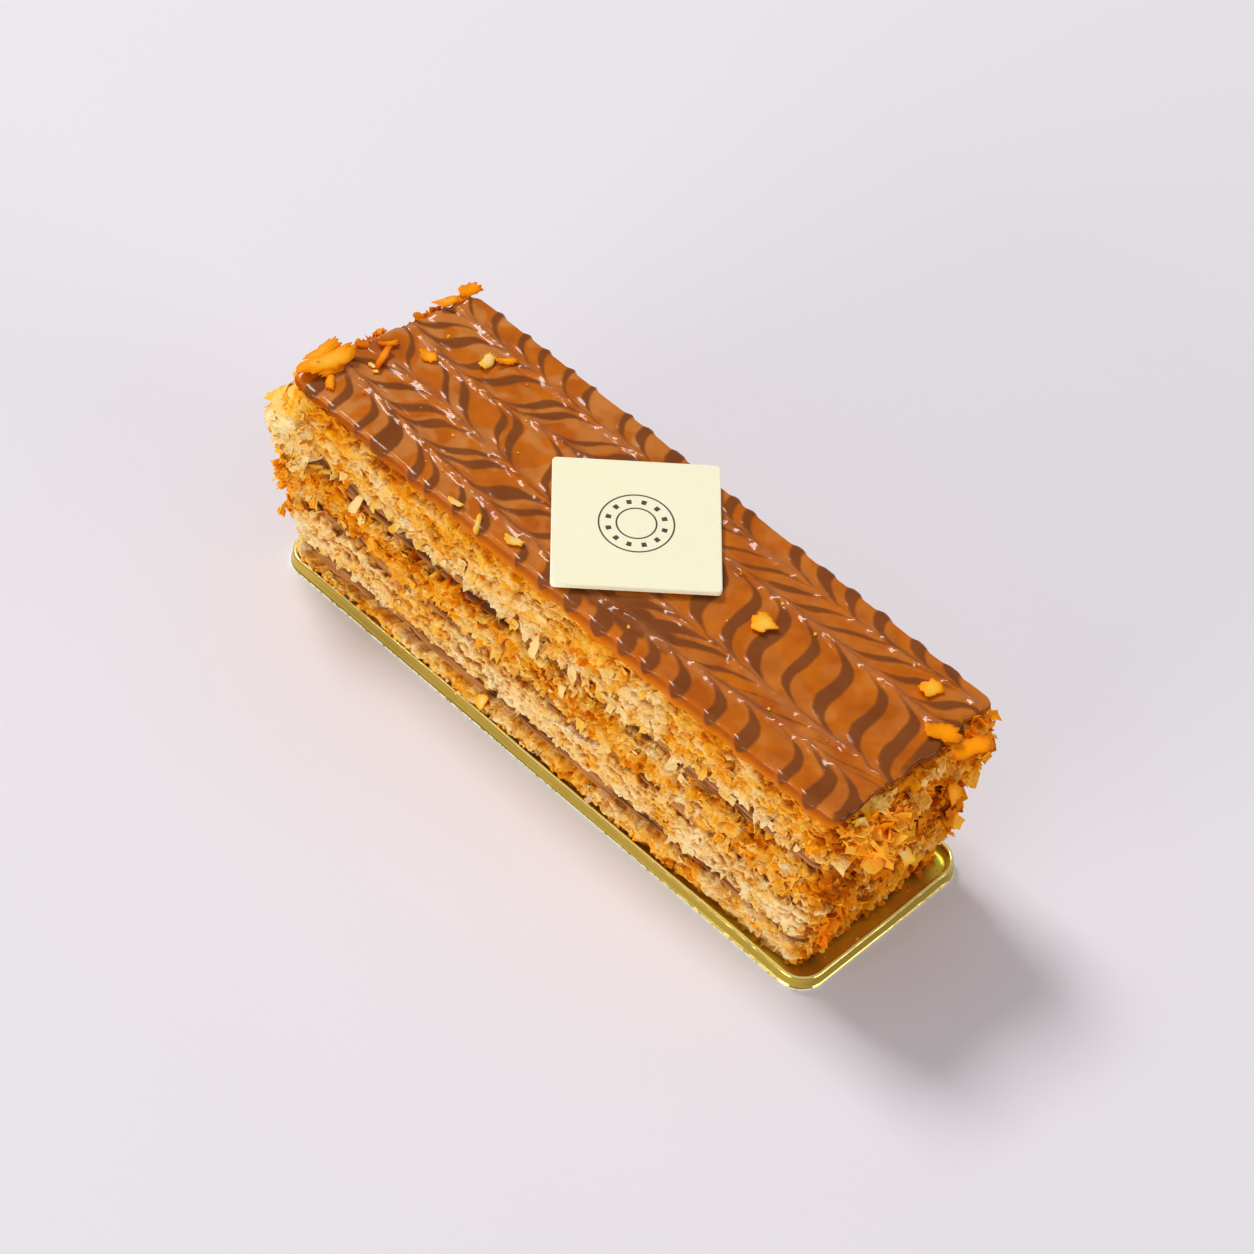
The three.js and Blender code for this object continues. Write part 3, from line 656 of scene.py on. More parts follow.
def side_positions(k, rows):
    """The smooth side of layer k before it is torn: points, outward directions and shares."""
    layer = LAYERS[k]
    flat, outward = rounded_outline(CORNERS, layer["insets"], SLICE["corner"])
    low = face_height(k, flat[:, 0], flat[:, 1])
    high = face_height(k + 1, flat[:, 0], flat[:, 1])
    share = np.linspace(0, 1, rows)[:, None]
    z = low + (high - low) * share
    lean = np.stack([front_lean(flat, outward, row) for row in z])
    points = np.empty((rows, len(flat), 3))
    points[..., :2] = flat + lean[..., None] * outward
    points[..., 2] = z
    normals = np.zeros_like(points)
    normals[..., :2] = outward
    return points, normals, np.broadcast_to(share, z.shape)


def torn_depth(points, normals, share, look, seed):
    """How far the torn side stands out from the smooth one, how toasted it is, and how much painted
    shade lies in it.
    """
    end = np.abs(normals[..., 0])
    crag = look["crag"] * (CRAG["long"] + (CRAG["end"] - CRAG["long"]) * end)
    large, large_tone, _, large_edge = tilted_plates(points, (3.2, 3.2, 1.8), seed)
    small, small_tone, _, small_edge = tilted_plates(points, (1.9, 1.9, 0.65), seed + 20, 2.6)
    tiny, tiny_tone, _, _ = tilted_plates(points, (0.8, 0.8, 0.45), seed + 120, 2.4)
    _, pore_tone, centre, _ = tilted_plates(points, (1.4, 1.4, 0.8), seed + 30)
    thick, thick_tone, thick_line = leaf_edges(points, 1.4, 5.0, seed + 100)
    thin, thin_tone, thin_line = leaf_edges(points, 0.58, 2.8, seed + 110)
    swell = rough_noise(points, (7, 7, 4), seed + 40)
    crumb = 0.6 - 2.2 * np.abs(rough_noise(points, (2.0, 2.0, 1.0), seed + 50, 3))
    pale = np.clip(1 - look["toast"] - look["rise"] * (share - 0.4), 0, 1)
    pore = (pore_tone > 0.9 - 0.5 * pale) * np.clip(1.5 - centre / 0.24, 0, 1)
    line = 0.5 * thick_line ** 6 + 0.5 * thin_line ** 4
    crease = np.exp(-large_edge / 0.1) + 0.5 * np.exp(-small_edge / 0.14)
    plates = look["plates"] * ((0.55 + 0.4 * end) * large + 0.3 * small)
    relief = 0.45 * swell + 0.6 * thick + 0.5 * thin + plates + 0.2 * tiny + 0.8 * crumb
    out = crag * (relief - 0.9 * pore - 0.22 * crease - 0.35 * line)
    edge = np.abs(2 * share - 1)
    out = out + 0.25 * np.sin(np.pi * share) - 0.5 * edge ** 8
    patch = smooth_noise(points, (7, 7, 3.5), seed + 60)
    toast = look["toast"] + look["rise"] * (share - 0.4) + 0.3 * patch + 0.26 * (large_tone - 0.5)
    toast = toast + look["spread"] * (small_tone - 0.5) + 0.08 * (thin_tone - 0.5)
    toast = toast + 0.1 * (thick_tone - 0.5)
    # Darker towards the foot of the square end: painted shade, laid in as more toast and more depth.
    shaded_end_foot = np.clip(normals[..., 0], 0, 1) * np.clip((26 - points[..., 2]) / 12, 0, 1)
    near_top = np.clip(normals[..., 0], 0, 1) * np.clip((points[..., 2] - 30) / 8, 0, 1)
    toast = toast + 0.06 * (tiny_tone - 0.5) + 0.15 * end + 0.2 * shaded_end_foot - 0.18 * near_top
    fine = 0.45 * thin + 0.3 * crumb + 0.35 * tiny
    # The depth is painted shade: darker in pores, creases, the lines between leaves, on whatever lies
    # back, and along the top and bottom edges of the layer.
    depth = 0.07 - 0.85 * relief - 0.8 * fine + 0.9 * pore + 0.4 * crease + 0.5 * line + 0.4 * edge ** 6
    return out, toast, np.clip(depth + 0.85 * shaded_end_foot, 0, 1)


print("depth of crag on the long sides and the ends, in mm:", CRAG)

# %% [markdown]
# Three things then bend the torn side to its place: the large swellings, the glaze's lip above
# it and the wall of the case below. Its upper and lower edges are ragged, so that it overlaps
# the cream above and below as torn pastry does.

# %% Fitting the side to its place
def swellings_at(points):
    """How far the swellings push the side out, how they change its toast, and their weight."""
    out, toast, weight = (np.zeros(points.shape[:-1]) for _ in range(3))
    for x, y, z, along, up, push, change in SWELLINGS:
        far = ((points[..., 0] - x) ** 2 + (points[..., 1] - y) ** 2) / along ** 2
        share = np.exp(-far - ((points[..., 2] - z) / up) ** 2)
        out = out + push * share
        toast = toast + change * np.minimum(1, 1.3 * share)
        weight = np.maximum(weight, share * np.sign(push))
    return out, toast, weight


def tucked_under_lip(points, normals, out, swell):
    """The top of the highest layer drawn back under the glaze's lip, except where it swells."""
    high = np.clip((points[..., 2] - LIP_FROM) / 3.0, 0, 1)
    lip = high * np.abs(normals[..., 1]) * (1 - np.clip(2.5 * swell, 0, 1))
    return out * (1 - lip) - 1.9 * lip + 0.9 * high * np.clip(normals[..., 0], 0, 1)


def held_by_case(points, normals, out, depth, seed):
    """The lowest layer, bulging out to the wall of the case and crumbly all over."""
    room = np.clip((points[..., 2] - FOOD_BASE) / (RIM_HEIGHT - FOOD_BASE), 0, 1)
    front = np.clip(-normals[..., 1], 0, 1) * np.clip((52 - points[..., 0]) / 24, 0.1, 1)
    wall = np.where(front > 0, 19.5 - np.abs(points[..., 1]), 1.2)
    limit = 0.1 + wall * room + 1.5 * np.maximum(points[..., 2] - RIM_HEIGHT, 0)
    eager = out + 1.2 * front * room
    out = limit - 0.2 * np.log1p(np.exp((limit - eager) / 0.2))
    crumbly = rough_noise(points, (1.5, 1.5, 0.8), seed + 95, 3)
    # Painted shade is weaker on this layer, and lighter still where its crumbs stand out.
    return out + 0.75 * crumbly - 0.2, np.clip(0.6 * depth - 0.7 * crumbly, 0, 1)


def ragged_side(points, normals, share, out, hang_by, top, seed):
    """The side moved out and folded, with edges that hang over the cream above and below."""
    fold = np.stack([rough_noise(points, 1.3, seed + 70 + n) for n in (0, 1, 2)], -1)
    shifted = points + out[..., None] * normals + 0.42 * fold
    ragged = np.abs(2 * share - 1) ** 4
    level = points * (1, 1, 0)
    hang = 0.9 * rough_noise(level, (3.4, 3.4, 1), seed + 80)
    hang = hang + 0.9 * rough_noise(level, (1.1, 1.1, 1), seed + 90)
    hang = hang + np.where(share > 0.5, -0.1, -0.15)
    upper = (share > 0.5) & top
    farther = 1 + 0.7 * np.clip((-20 - points[..., 0]) / 20, 0, 1)
    shifted[..., 2] += ragged * hang * hang_by * farther * ~upper
    shifted[..., 2] = np.clip(shifted[..., 2], FOOD_BASE, UNDER_GLAZE)
    return shifted


print("the top layer draws back from", LIP_FROM, "mm up")

# %% [markdown]
# A layer is closed by two more rings, one well inside its underside and one inside its top, so
# that the mesh has a floor and a lid that the neighbours hide. Then leaves are rooted all over
# the side, more of them where it swells, and a fringe of them along its lower edge.

# %% Pastry layers
def inner_ring(k, face, lift, columns, inset):
    """A ring inside the outline, on a face of layer k, with as many points as its side."""
    insets = np.array(LAYERS[k]["insets"]) + inset
    flat = resampled(rounded_outline(CORNERS, insets, 1.0)[0], columns)
    height = face_height(face, flat[:, 0], flat[:, 1]) + lift
    return np.column_stack([flat, np.broadcast_to(height, len(flat))])


def closed_stack(k, side, inset, spare=0.0):
    """The rings of a layer's side between one inside its underside and one inside its top."""
    columns = side.shape[1]
    under = inner_ring(k, k, -spare, columns, inset)
    over = inner_ring(k, k + 1, spare, columns, inset)
    return np.concatenate([under[None], side, over[None]])


def layer_leaves(random, look, points, normals, toast, swell):
    """Leaves over the whole side, and a fringe of them that hangs from its lower edge."""
    rows, columns = toast.shape
    count = look["leaves"] + look["fringe"]
    fringe = np.arange(count) >= look["leaves"]
    weight = 1 + 6 * swell.max(0)
    column = random.choice(columns, count, p=weight / weight.sum())
    row = random.integers(1, rows - 1, count)
    row = np.where(fringe, random.integers(1, 2 + rows // 6, count), row)
    root = points[row, column]
    outward = normals[row, column]
    end = np.abs(outward[:, 0])
    size = random.uniform(*look["leaf"], count) * (1 + 0.8 * end * random.random(count))
    width = size * random.uniform(0.5, 0.9, count) * np.where(fringe, 1.5, 1.0)
    tilt = np.radians(random.normal(np.where(fringe, -75, -45), np.where(fringe, 15, 35)))
    turn = np.radians(random.normal(0, 20, count))
    leaf_points, leaf_quads, each = make_leaves(
        random, root - 0.1 * outward, outward, size, width, tilt, turn, 0.14)
    tone = np.clip(toast[row, column] + random.normal(0.02, 0.1, count), 0.14, 0.78)
    return leaf_points, leaf_quads, np.repeat(tone, each)


def pastry_layer(k):
    """One torn layer of pastry with its leaves."""
    name = LAYERS[k]["name"]
    look = PASTRY_LOOK[name]
    top = k == len(LAYERS) - 1
    seed = 1000 + 100 * k
    rows = round(max(LAYERS[k]["thickness"]) / STEP)
    points, normals, share = side_positions(k, rows)
    out, toast, depth = torn_depth(points, normals, share, look, seed)
    swell_out, swell_toast, swell = swellings_at(points)
    toast = toast + swell_toast
    if name == "pastry_upper":
        toast = toast - 0.12 * np.clip((-52 - points[..., 0]) / 10, 0, 1)
    toast = np.minimum(toast, 0.92)
    # Painted shade: less where the side swells out, more in the hollows.
    depth = np.clip(depth - 0.4 * swell_out, 0, 1)
    if top:
        out = tucked_under_lip(points, normals, out, swell)
    out = out + swell_out
    if name == "pastry_bottom":
        out, depth = held_by_case(points, normals, out, depth, seed)
    side = ragged_side(points, normals, share, out, look["hang"], top, seed)
    body = closed_stack(k, side, 4.0)
    columns = points.shape[1]
    faces = closed_faces(rows + 2, columns)
    random = np.random.default_rng(seed)
    leaf_points, leaf_quads, leaf_tone = layer_leaves(random, look, side, normals, toast,
                                                      np.clip(swell, 0, 1))
    leaf_points[:, 2] = np.clip(leaf_points[:, 2], FOOD_BASE, HIGHEST_LEAF)
    ring = np.zeros(columns)
    # The depth mark carries the painted shade to the material.
    marks = {
        "toast": np.concatenate([ring, toast.ravel(), ring, leaf_tone]),
        "depth": np.concatenate([ring, depth.ravel(), ring, np.zeros(len(leaf_points))]),
    }
    smooth = [True] * len(faces) + [False] * len(leaf_quads)
    faces = faces + (leaf_quads + body.size // 3).tolist()
    piece = new_piece(name + "_torn", np.concatenate([body.reshape(-1, 3), leaf_points]),
                      faces, PASTRY[name], smooth, marks)
    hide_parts(name)
    return piece


for number, layer in enumerate(LAYERS):
    if layer["name"].startswith("pastry"):
        pastry_layer(number)

# %% [markdown]
# ## Cream
# The bands between the pastry are praline cream, set back a little and drawn out by the knife
# into fine level lines. A band reaches past its own thickness into the pastry above and below,
# so that no gap shows behind the ragged edges.


# %% Cream material
def cream_material():
    """Brown praline cream with a soft sheen, darkened by painted shade in its fine drawn lines and
    grooves.
    """
    material, tree, shader = new_material("praline_cream")
    grain = place_grain(tree, 0.6)
    # Painted shade: the depth mark darkens the cream towards dark brown in its grooves, mottled by the
    # grain.
    tone = calculate(tree, "MULTIPLY_ADD", grain["Mottle"], 0.5, mark_value(tree, "depth"))
    tint = colour_ramp(
        tree, calculate(tree, "SUBTRACT", tone, 0.12, clamp=True),
        (0.0, colour(206, 140, 76)), (0.45, colour(160, 98, 42)), (1.0, colour(92, 42, 6)))
    roughness = calculate(tree, "MULTIPLY_ADD", grain["Mottle"], 0.2, 0.36)
    finish_surface(tree, shader, tint, roughness, grain["Grain"], 0.3, 0.1)
    let_light_in(shader, 0.08, (1.0, 0.4, 0.15), 0.6, 0.12)
    return material


CREAM = cream_material()
print("cream material:", CREAM.name)

# %% [markdown]
# A band of cream is built like a layer of pastry, from the same outline, but it is smooth: long
# level lines that the knife drew, a few lumps, and a slow sag. Shade is painted into the lines
# and grooves that lie back. It leans back towards its top, so that the pastry above casts a
# shadow on it.

# %% Cream layers
CREAM_ROWS = 28
CREAM_SPARE = 0.9                  # how far a band reaches into the pastry above and below


def cream_layer(k):
    """One band of cream, drawn into level lines and a little lumpy."""
    name = LAYERS[k]["name"]
    points, normals, share = side_positions(k, CREAM_ROWS)
    points[..., 2] += (2 * share - 1) * CREAM_SPARE
    seed = 5000 + 100 * k
    lines = rough_noise(points, (9, 9, 0.6), seed, 2)
    lumps = rough_noise(points, (3.5, 3.5, 1.6), seed + 10)
    sag = smooth_noise(points * (1, 1, 0), (11, 11, 1), seed + 20)
    drawn = 0.9 if name == "cream_bottom" else 0.5
    grooves = smooth_noise(points, (11, 11, 0.42), seed + 30)
    grooves = grooves + 0.5 * rough_noise(points, (3, 3, 0.8), seed + 31)
    out = 0.8 * drawn * lines + 0.35 * grooves + 0.35 * lumps + 0.35 * sag + 0.2 - 0.7 * share
    body = closed_stack(k, points + out[..., None] * normals, 3.0, CREAM_SPARE)
    columns = points.shape[1]
    ring = np.zeros(columns)
    # Depth is painted shade: darker where the drawn lines, grooves and lumps lie back.
    depth = np.clip(0.38 - 1.4 * drawn * lines - 1.1 * grooves - 0.4 * lumps, 0, 1)
    marks = {"depth": np.concatenate([ring, depth.ravel(), ring])}
    faces = closed_faces(CREAM_ROWS + 2, columns)
    piece = new_piece(name + "_drawn", body, faces, CREAM, True, marks)
    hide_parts(name)
    return piece


for number, layer in enumerate(LAYERS):
    if layer["name"].startswith("cream"):
        cream_layer(number)

# %% [markdown]
# ## The glaze
# Caramel is poured over the slice, lines of chocolate are piped across it, and a comb is drawn
# along it, once towards one end and once towards the other. Each pass drags the chocolate with
# it, which gives the feathered pattern. The same happens here: every point of the glaze asks
# where its chocolate came from, by undoing the drags of the comb.

# %% Piped lines and comb lines
COMB_STATIONS = (-60, -50, -40, -30, -20, 0, 20, 40, 60)
COMB_LINES = [                     # where each tooth ran, at the stations, and which way it dragged
    {"y": (15.6, 15.2, 15.2, 14.8, 15.1, 15.6, 15.9, 16.2, 18.4), "drag": 8.0},
    {"y": (6.5, 5.2, 5.5, 6.9, 7.2, 8.6, 9.9, 10.2, 10.2), "drag": -8.0},
    {"y": (-2.1, -1.8, -2.6, -3.3, -4.3, -5.0, -5.5, -5.4, -5.2), "drag": 8.0},
    {"y": (-8.8, -9.6, -10.8, -11.7, -12.5, -12.1, -11.7, -9.8, -8.4), "drag": -8.0},
]
DRAG_REACH = 1.45                  # how fast the drag of a tooth fades away from it
PIPED = [                          # lines of chocolate in each band: place and half width
    [(-60.5, 0.6), (-54, 0.8), (-47.4, 0.7), (-42.3, 0.7), (-36, 0.7), (-30.5, 0.7), (-22.2, 0.7),
     (-17.6, 1.2), (-10.2, 1.6), (-3.5, 1.4), (3.2, 1.2), (7.2, 1.2), (18.3, 1.5), (25.2, 1.8),
     (31, 1.5), (37.6, 1.4), (45.7, 1.5), (52.4, 1.8), (60, 0.9)],
    [(-63, 0.8), (-58, 0.6), (-53.4, 1.2), (-46.6, 1.1), (-41.4, 1.1), (-33.8, 1.1), (-29.9, 1.1),
     (-21.2, 0.8), (-16.2, 1.7), (-9, 1.2), (-2, 1.2), (5, 1.2), (12.4, 0.7), (18.4, 1.2), (24, 1.3),
     (30.3, 1.3), (37, 1.3), (45, 1.3), (51.2, 1.3), (58.7, 1.2), (63.2, 0.9)],
    [(-57.4, 0.7), (-48, 0.8), (-43.2, 1.1), (-34.4, 0.8), (-31.2, 1.2), (-21.2, 1.1), (-15, 1.2),
     (-8, 1.2), (-1, 1.2), (6, 1.2), (15.6, 1.6), (23, 1.4), (29.1, 1.6), (36.2, 1.3), (43.8, 1.5),
     (51.6, 1.3), (58.4, 1.5), (62.6, 1.2)],
    [(-60.5, 1.4), (-53.5, 1.0), (-47, 1.1), (-42.5, 1.2), (-34.4, 1.1), (-30.8, 1.2), (-22.6, 1.9),
     (-17.3, 1.3), (-10, 1.2), (-3, 1.3), (3.5, 1.6), (9.2, 2.3), (15.8, 2.3), (21.2, 1.7), (28.8, 1.3),
     (36.4, 0.8), (43.4, 0.9), (50, 0.5), (56.6, 0.8), (61.5, 0.7)],
    [(-62, 1.6), (-56.6, 0.9), (-50, 0.8), (-44.3, 2.2), (-36, 1.2), (-32.2, 1.1), (-25.5, 0.8),
     (-19.3, 1.3), (-10.5, 0.9), (-4, 1.4), (2.2, 1.7), (8.9, 2.0), (15, 1.7), (20, 1.4), (26.7, 1.5),
     (34.1, 1.3), (41.6, 1.5), (51, 1.2), (57, 1.7), (62.5, 1.3)],
]


print("lines piped:", [len(lines) for lines in PIPED], "and combed:", len(COMB_LINES))

# %% [markdown]
# To colour a point of the glaze, the drag of every tooth is taken off its place. What is left
# is where its chocolate was piped, and a piped line is dark within its half width. A line that
# has been dragged out is also thinner, so the shear of the drag narrows it.

# %% Feathered chocolate
def from_comb(n, x, y, spot, waver, size=4):
    """How far each point lies from the path of tooth n, which wavers a little."""
    path = np.interp(x, COMB_STATIONS, COMB_LINES[n]["y"])
    return y - path + waver * smooth_noise(spot, (size, size, 1), 310 + n)


def chocolate_at(x, y):
    """How far inside a line of chocolate each point is, in mm; negative outside."""
    spot = np.stack([x, y, np.zeros_like(x)], -1)
    source = x + 0.35 * smooth_noise(spot, (5, 5, 1), 301)
    shear = np.zeros(x.shape)
    band = np.zeros(x.shape, int)
    spine = np.full(x.shape, -9.0)
    for n, line in enumerate(COMB_LINES):
        away = from_comb(n, x, y, spot, 0.25)
        band = band + (away < 0)
        strength = line["drag"] * (1 + 0.25 * smooth_noise(spot, (9, 90, 1), 320 + n))
        drag = strength * np.exp(-np.abs(away) / DRAG_REACH)
        source = source - drag
        shear = shear + np.sign(away) * drag / DRAG_REACH
        trail = 0.12 + 0.35 * smooth_noise(spot, (4, 9, 1), 335 + n)
        spine = np.maximum(spine, trail - 0.9 * np.abs(away - 0.35))
    inside = np.full(x.shape, -9.0)
    for n, lines in enumerate(PIPED):
        best = np.full(x.shape, -9.0)
        for centre, half in lines:
            best = np.maximum(best, half - np.abs(source - centre))
        inside = np.where(band == n, best, inside)
    drawn = inside / np.sqrt(1 + shear ** 2) ** 0.8 - 0.04 * np.abs(shear)
    drawn = drawn + 0.12 * np.clip((-15 - x) / 20, 0, 1) + 0.2 * smooth_noise(spot, (2.5, 2.5, 1), 330)
    smudge = np.exp(-((x - 9.0) / 12.5) ** 4 - ((y + 11.6) / 3.9) ** 4)
    blurred = 1.3 * smudge - 0.85 + 0.7 * rough_noise(spot, (4, 1.6, 1), 331)
    return np.maximum(np.maximum(drawn, blurred), spine)


middle = chocolate_at(np.zeros(1), np.zeros(1))[0]
print("chocolate at the glaze's middle:", round(float(middle), 2), "mm inside a line")

# %% [markdown]
# The comb leaves more than colour: it stands up in a low broken ridge with a shallow groove on
# each side, and a pale streak of painted sheen lies along each ridge.

# %% What the comb leaves
def comb_sheen_at(x, y):
    """How much painted sheen lies along the path of each tooth of the comb, from 0 to 1."""
    spot = np.stack([x, y, np.zeros_like(x)], -1)
    painted_sheen = np.zeros(x.shape)
    for n in range(len(COMB_LINES)):
        away = from_comb(n, x, y, spot, 0.35, 5)
        patchy = np.clip(0.55 + 1.1 * rough_noise(spot, (3.5, 2, 1), 345 + n), 0, 1)
        painted_sheen = np.maximum(painted_sheen, patchy * np.exp(-(away / 0.95) ** 2))
    return painted_sheen


def comb_ridges(x, y):
    """The height of the glaze over its mean: ridges where the comb ran, and slow swelling."""
    spot = np.stack([x, y, np.zeros_like(x)], -1)
    height = 0.07 * smooth_noise(spot, (9, 5, 1), 350) + 0.04 * smooth_noise(spot, (3, 2, 1), 351)
    bead = np.exp(-((x + 66.2 - 0.16 * (y + 17)) / 3.2) ** 2)
    height = height + 0.5 * bead * (1 + smooth_noise(spot, 3, 352))
    for n in range(len(COMB_LINES)):
        away = from_comb(n, x, y, spot, 0.35, 5) + 0.3 * smooth_noise(spot, (1.8, 9, 1), 370 + n)
        bumpy = np.clip(0.45 + 1.3 * rough_noise(spot, (1.9, 3, 1), 360 + n), 0.05, 1.3)
        height = height + 0.5 * bumpy * np.exp(-(away / 0.72) ** 2)
        height = height - 0.1 * np.exp(-((np.abs(away) - 1.3) / 0.6) ** 2)
    return height


middle = comb_ridges(np.zeros(1), np.zeros(1))[0]
print("height at the glaze's middle:", round(float(middle), 3), "mm")

# %% [markdown]
# ## Glaze material
# Caramel is clear where it is thin and deep where it is thick. Its colour is mixed in steps:
# vivid caramel with pale patches of painted reflection, stronger towards the far end, by a broad
# noise, then a clearer orange on the thin lip, then chocolate where the mesh says so, and last
# painted sheen in pale streaks along the comb. The wet shine is a coat over the shader. The
# coat fades on the lip, which is duller.

# %% Glaze material
def glaze_material():
    """Glossy caramel with chocolate drawn through it, lighter where it is thin, with painted reflection
    and sheen.
    """
    material, tree, shader = new_material("caramel_glaze")
    place = object_place(tree)
    cloud = noise_texture(tree, place, 160.0, 3.0)
    fine = noise_texture(tree, place, 900.0, 3.0, 0.6)
    patches = noise_texture(tree, place, 190.0, 1.0, distortion=0.5)
    vivid = colour_ramp(tree, cloud, (0.35, colour(180, 86, 0)), (0.65, colour(204, 108, 4)))
    # Painted reflection: a paler, pinker caramel laid in patches, stronger towards the far end, for the
    # window seen in the glaze.
    painted_reflection = colour_ramp(tree, cloud, (0.35, colour(192, 112, 40)), (0.65, colour(206, 128, 58)))
    split = new_node(tree, "ShaderNodeSeparateXYZ")
    connect(tree, place, split.inputs[0])
    farther = map_range(tree, split.outputs["X"], 20 * MM, -40 * MM, 0.4, 1.0)
    choice = map_range(tree, patches, 0.45, 0.58, kind="SMOOTHSTEP")
    with_painted_reflection = mix_colours(tree, calculate(tree, "MULTIPLY", choice, farther), vivid, painted_reflection)
    thin = mark_value(tree, "thin")
    running = mix_colours(tree, mark_value(tree, "low"), colour(166, 74, 0), colour(220, 122, 0))
    caramel = mix_colours(tree, thin, with_painted_reflection, running)
    wavy = calculate(tree, "MULTIPLY_ADD", fine, 0.4, mark_value(tree, "chocolate"))
    edge = map_range(tree, wavy, -0.05, 0.6, kind="SMOOTHSTEP")
    dark = mix_colours(tree, cloud, colour(112, 50, 0), colour(144, 80, 32))
    both = mix_colours(tree, edge, caramel, dark)
    # Painted sheen: a pale pinkish brown along the comb ridges.
    painted_sheen = calculate(tree, "MULTIPLY", mark_value(tree, "combed"), 0.55)
    tint = mix_colours(tree, painted_sheen, both, colour(176, 108, 62))
    roughness = calculate(tree, "MULTIPLY_ADD", fine, 0.14, 0.2)
    finish_surface(tree, shader, tint, roughness, fine, 0.2, 0.08)
    let_light_in(shader, 0.06, (1.0, 0.3, 0.05), 0.8, 0.02)
    connect(tree, calculate(tree, "MULTIPLY_ADD", thin, -0.46, 0.5), shader.inputs["Coat Weight"])
    shader.inputs["Coat Roughness"].default_value = 0.13
    return material


GLAZE = glaze_material()
print("glaze material:", GLAZE.name)

# %% [markdown]
# The glaze is poured, so its top is level, its edge is round, and it runs down the sides in a
# lip of uneven depth. The top is a grid fine enough to carry the comb's ridges. From its border,
# rings follow a rounded section outward and down, and a last ring closes it underneath.

# %% Plan of the glaze
LIP = {                            # how deep it hangs at each side, and the section of its edge
    "front": 3.6, "back": 2.7, "end": 1.1, "round": 0.7, "under": 1.6, "spare": 0.5,
    "far": 0.9, "short": 1.5,
}



def glaze_plan():
    """A grid over the glaze's top, inside the rounding of its edge, with rounded corners."""
    edge = LIP["round"]
    half_x, half_y = SLICE["length"] / 2 - edge, (SLICE["width"] + LIP["spare"]) / 2 - edge
    columns, rows = round(2 * half_x / 0.42), round(2 * half_y / 0.21)
    u, v = np.meshgrid(np.linspace(-half_x, half_x, columns), np.linspace(-half_y, half_y, rows))
    radius = np.where(u > 0, 1.5, 0.6)
    a = np.clip((np.abs(u) - half_x + radius) / radius, 0, 1)
    b = np.clip((np.abs(v) - half_y + radius) / radius, 0, 1)
    corner = (a > 0) & (b > 0)
    pull_u = np.where(corner, radius * a * (1 - np.sqrt(1 - b * b / 2)), 0)
    pull_v = np.where(corner, radius * b * (1 - np.sqrt(1 - a * a / 2)), 0)
    u = u - np.sign(u) * pull_u
    v = v - np.sign(v) * pull_v
    far = 0.5 - u / (2 * half_x)
    skewed = u + SLICE["x"] + SLICE["skew"] / 2 * (v / half_y) * far - LIP["far"] * far ** 8
    place = np.stack([0 * v, v, 0 * v], -1)
    torn = 0.9 * rough_noise(place, 4.0, 341) - 0.25
    skewed = skewed + torn * (1 - far) ** 16
    return skewed, v + SLICE["y"] + LIP["spare"] / 2


def border_of(rows, columns):
    """The indices of a grid's border, anticlockwise from its front left corner."""
    first = [(0, c) for c in range(columns)]
    first += [(r, columns - 1) for r in range(1, rows)]
    first += [(rows - 1, c) for c in range(columns - 2, -1, -1)]
    first += [(r, 0) for r in range(rows - 2, 0, -1)]
    return np.array([r * columns + c for r, c in first])


print("glaze's lip, in mm:", LIP)


# %% [markdown]
# Each ring also records what its material needs to know: how dark the chocolate still is there,
# whether it is on the thin lip, and how low it hangs.

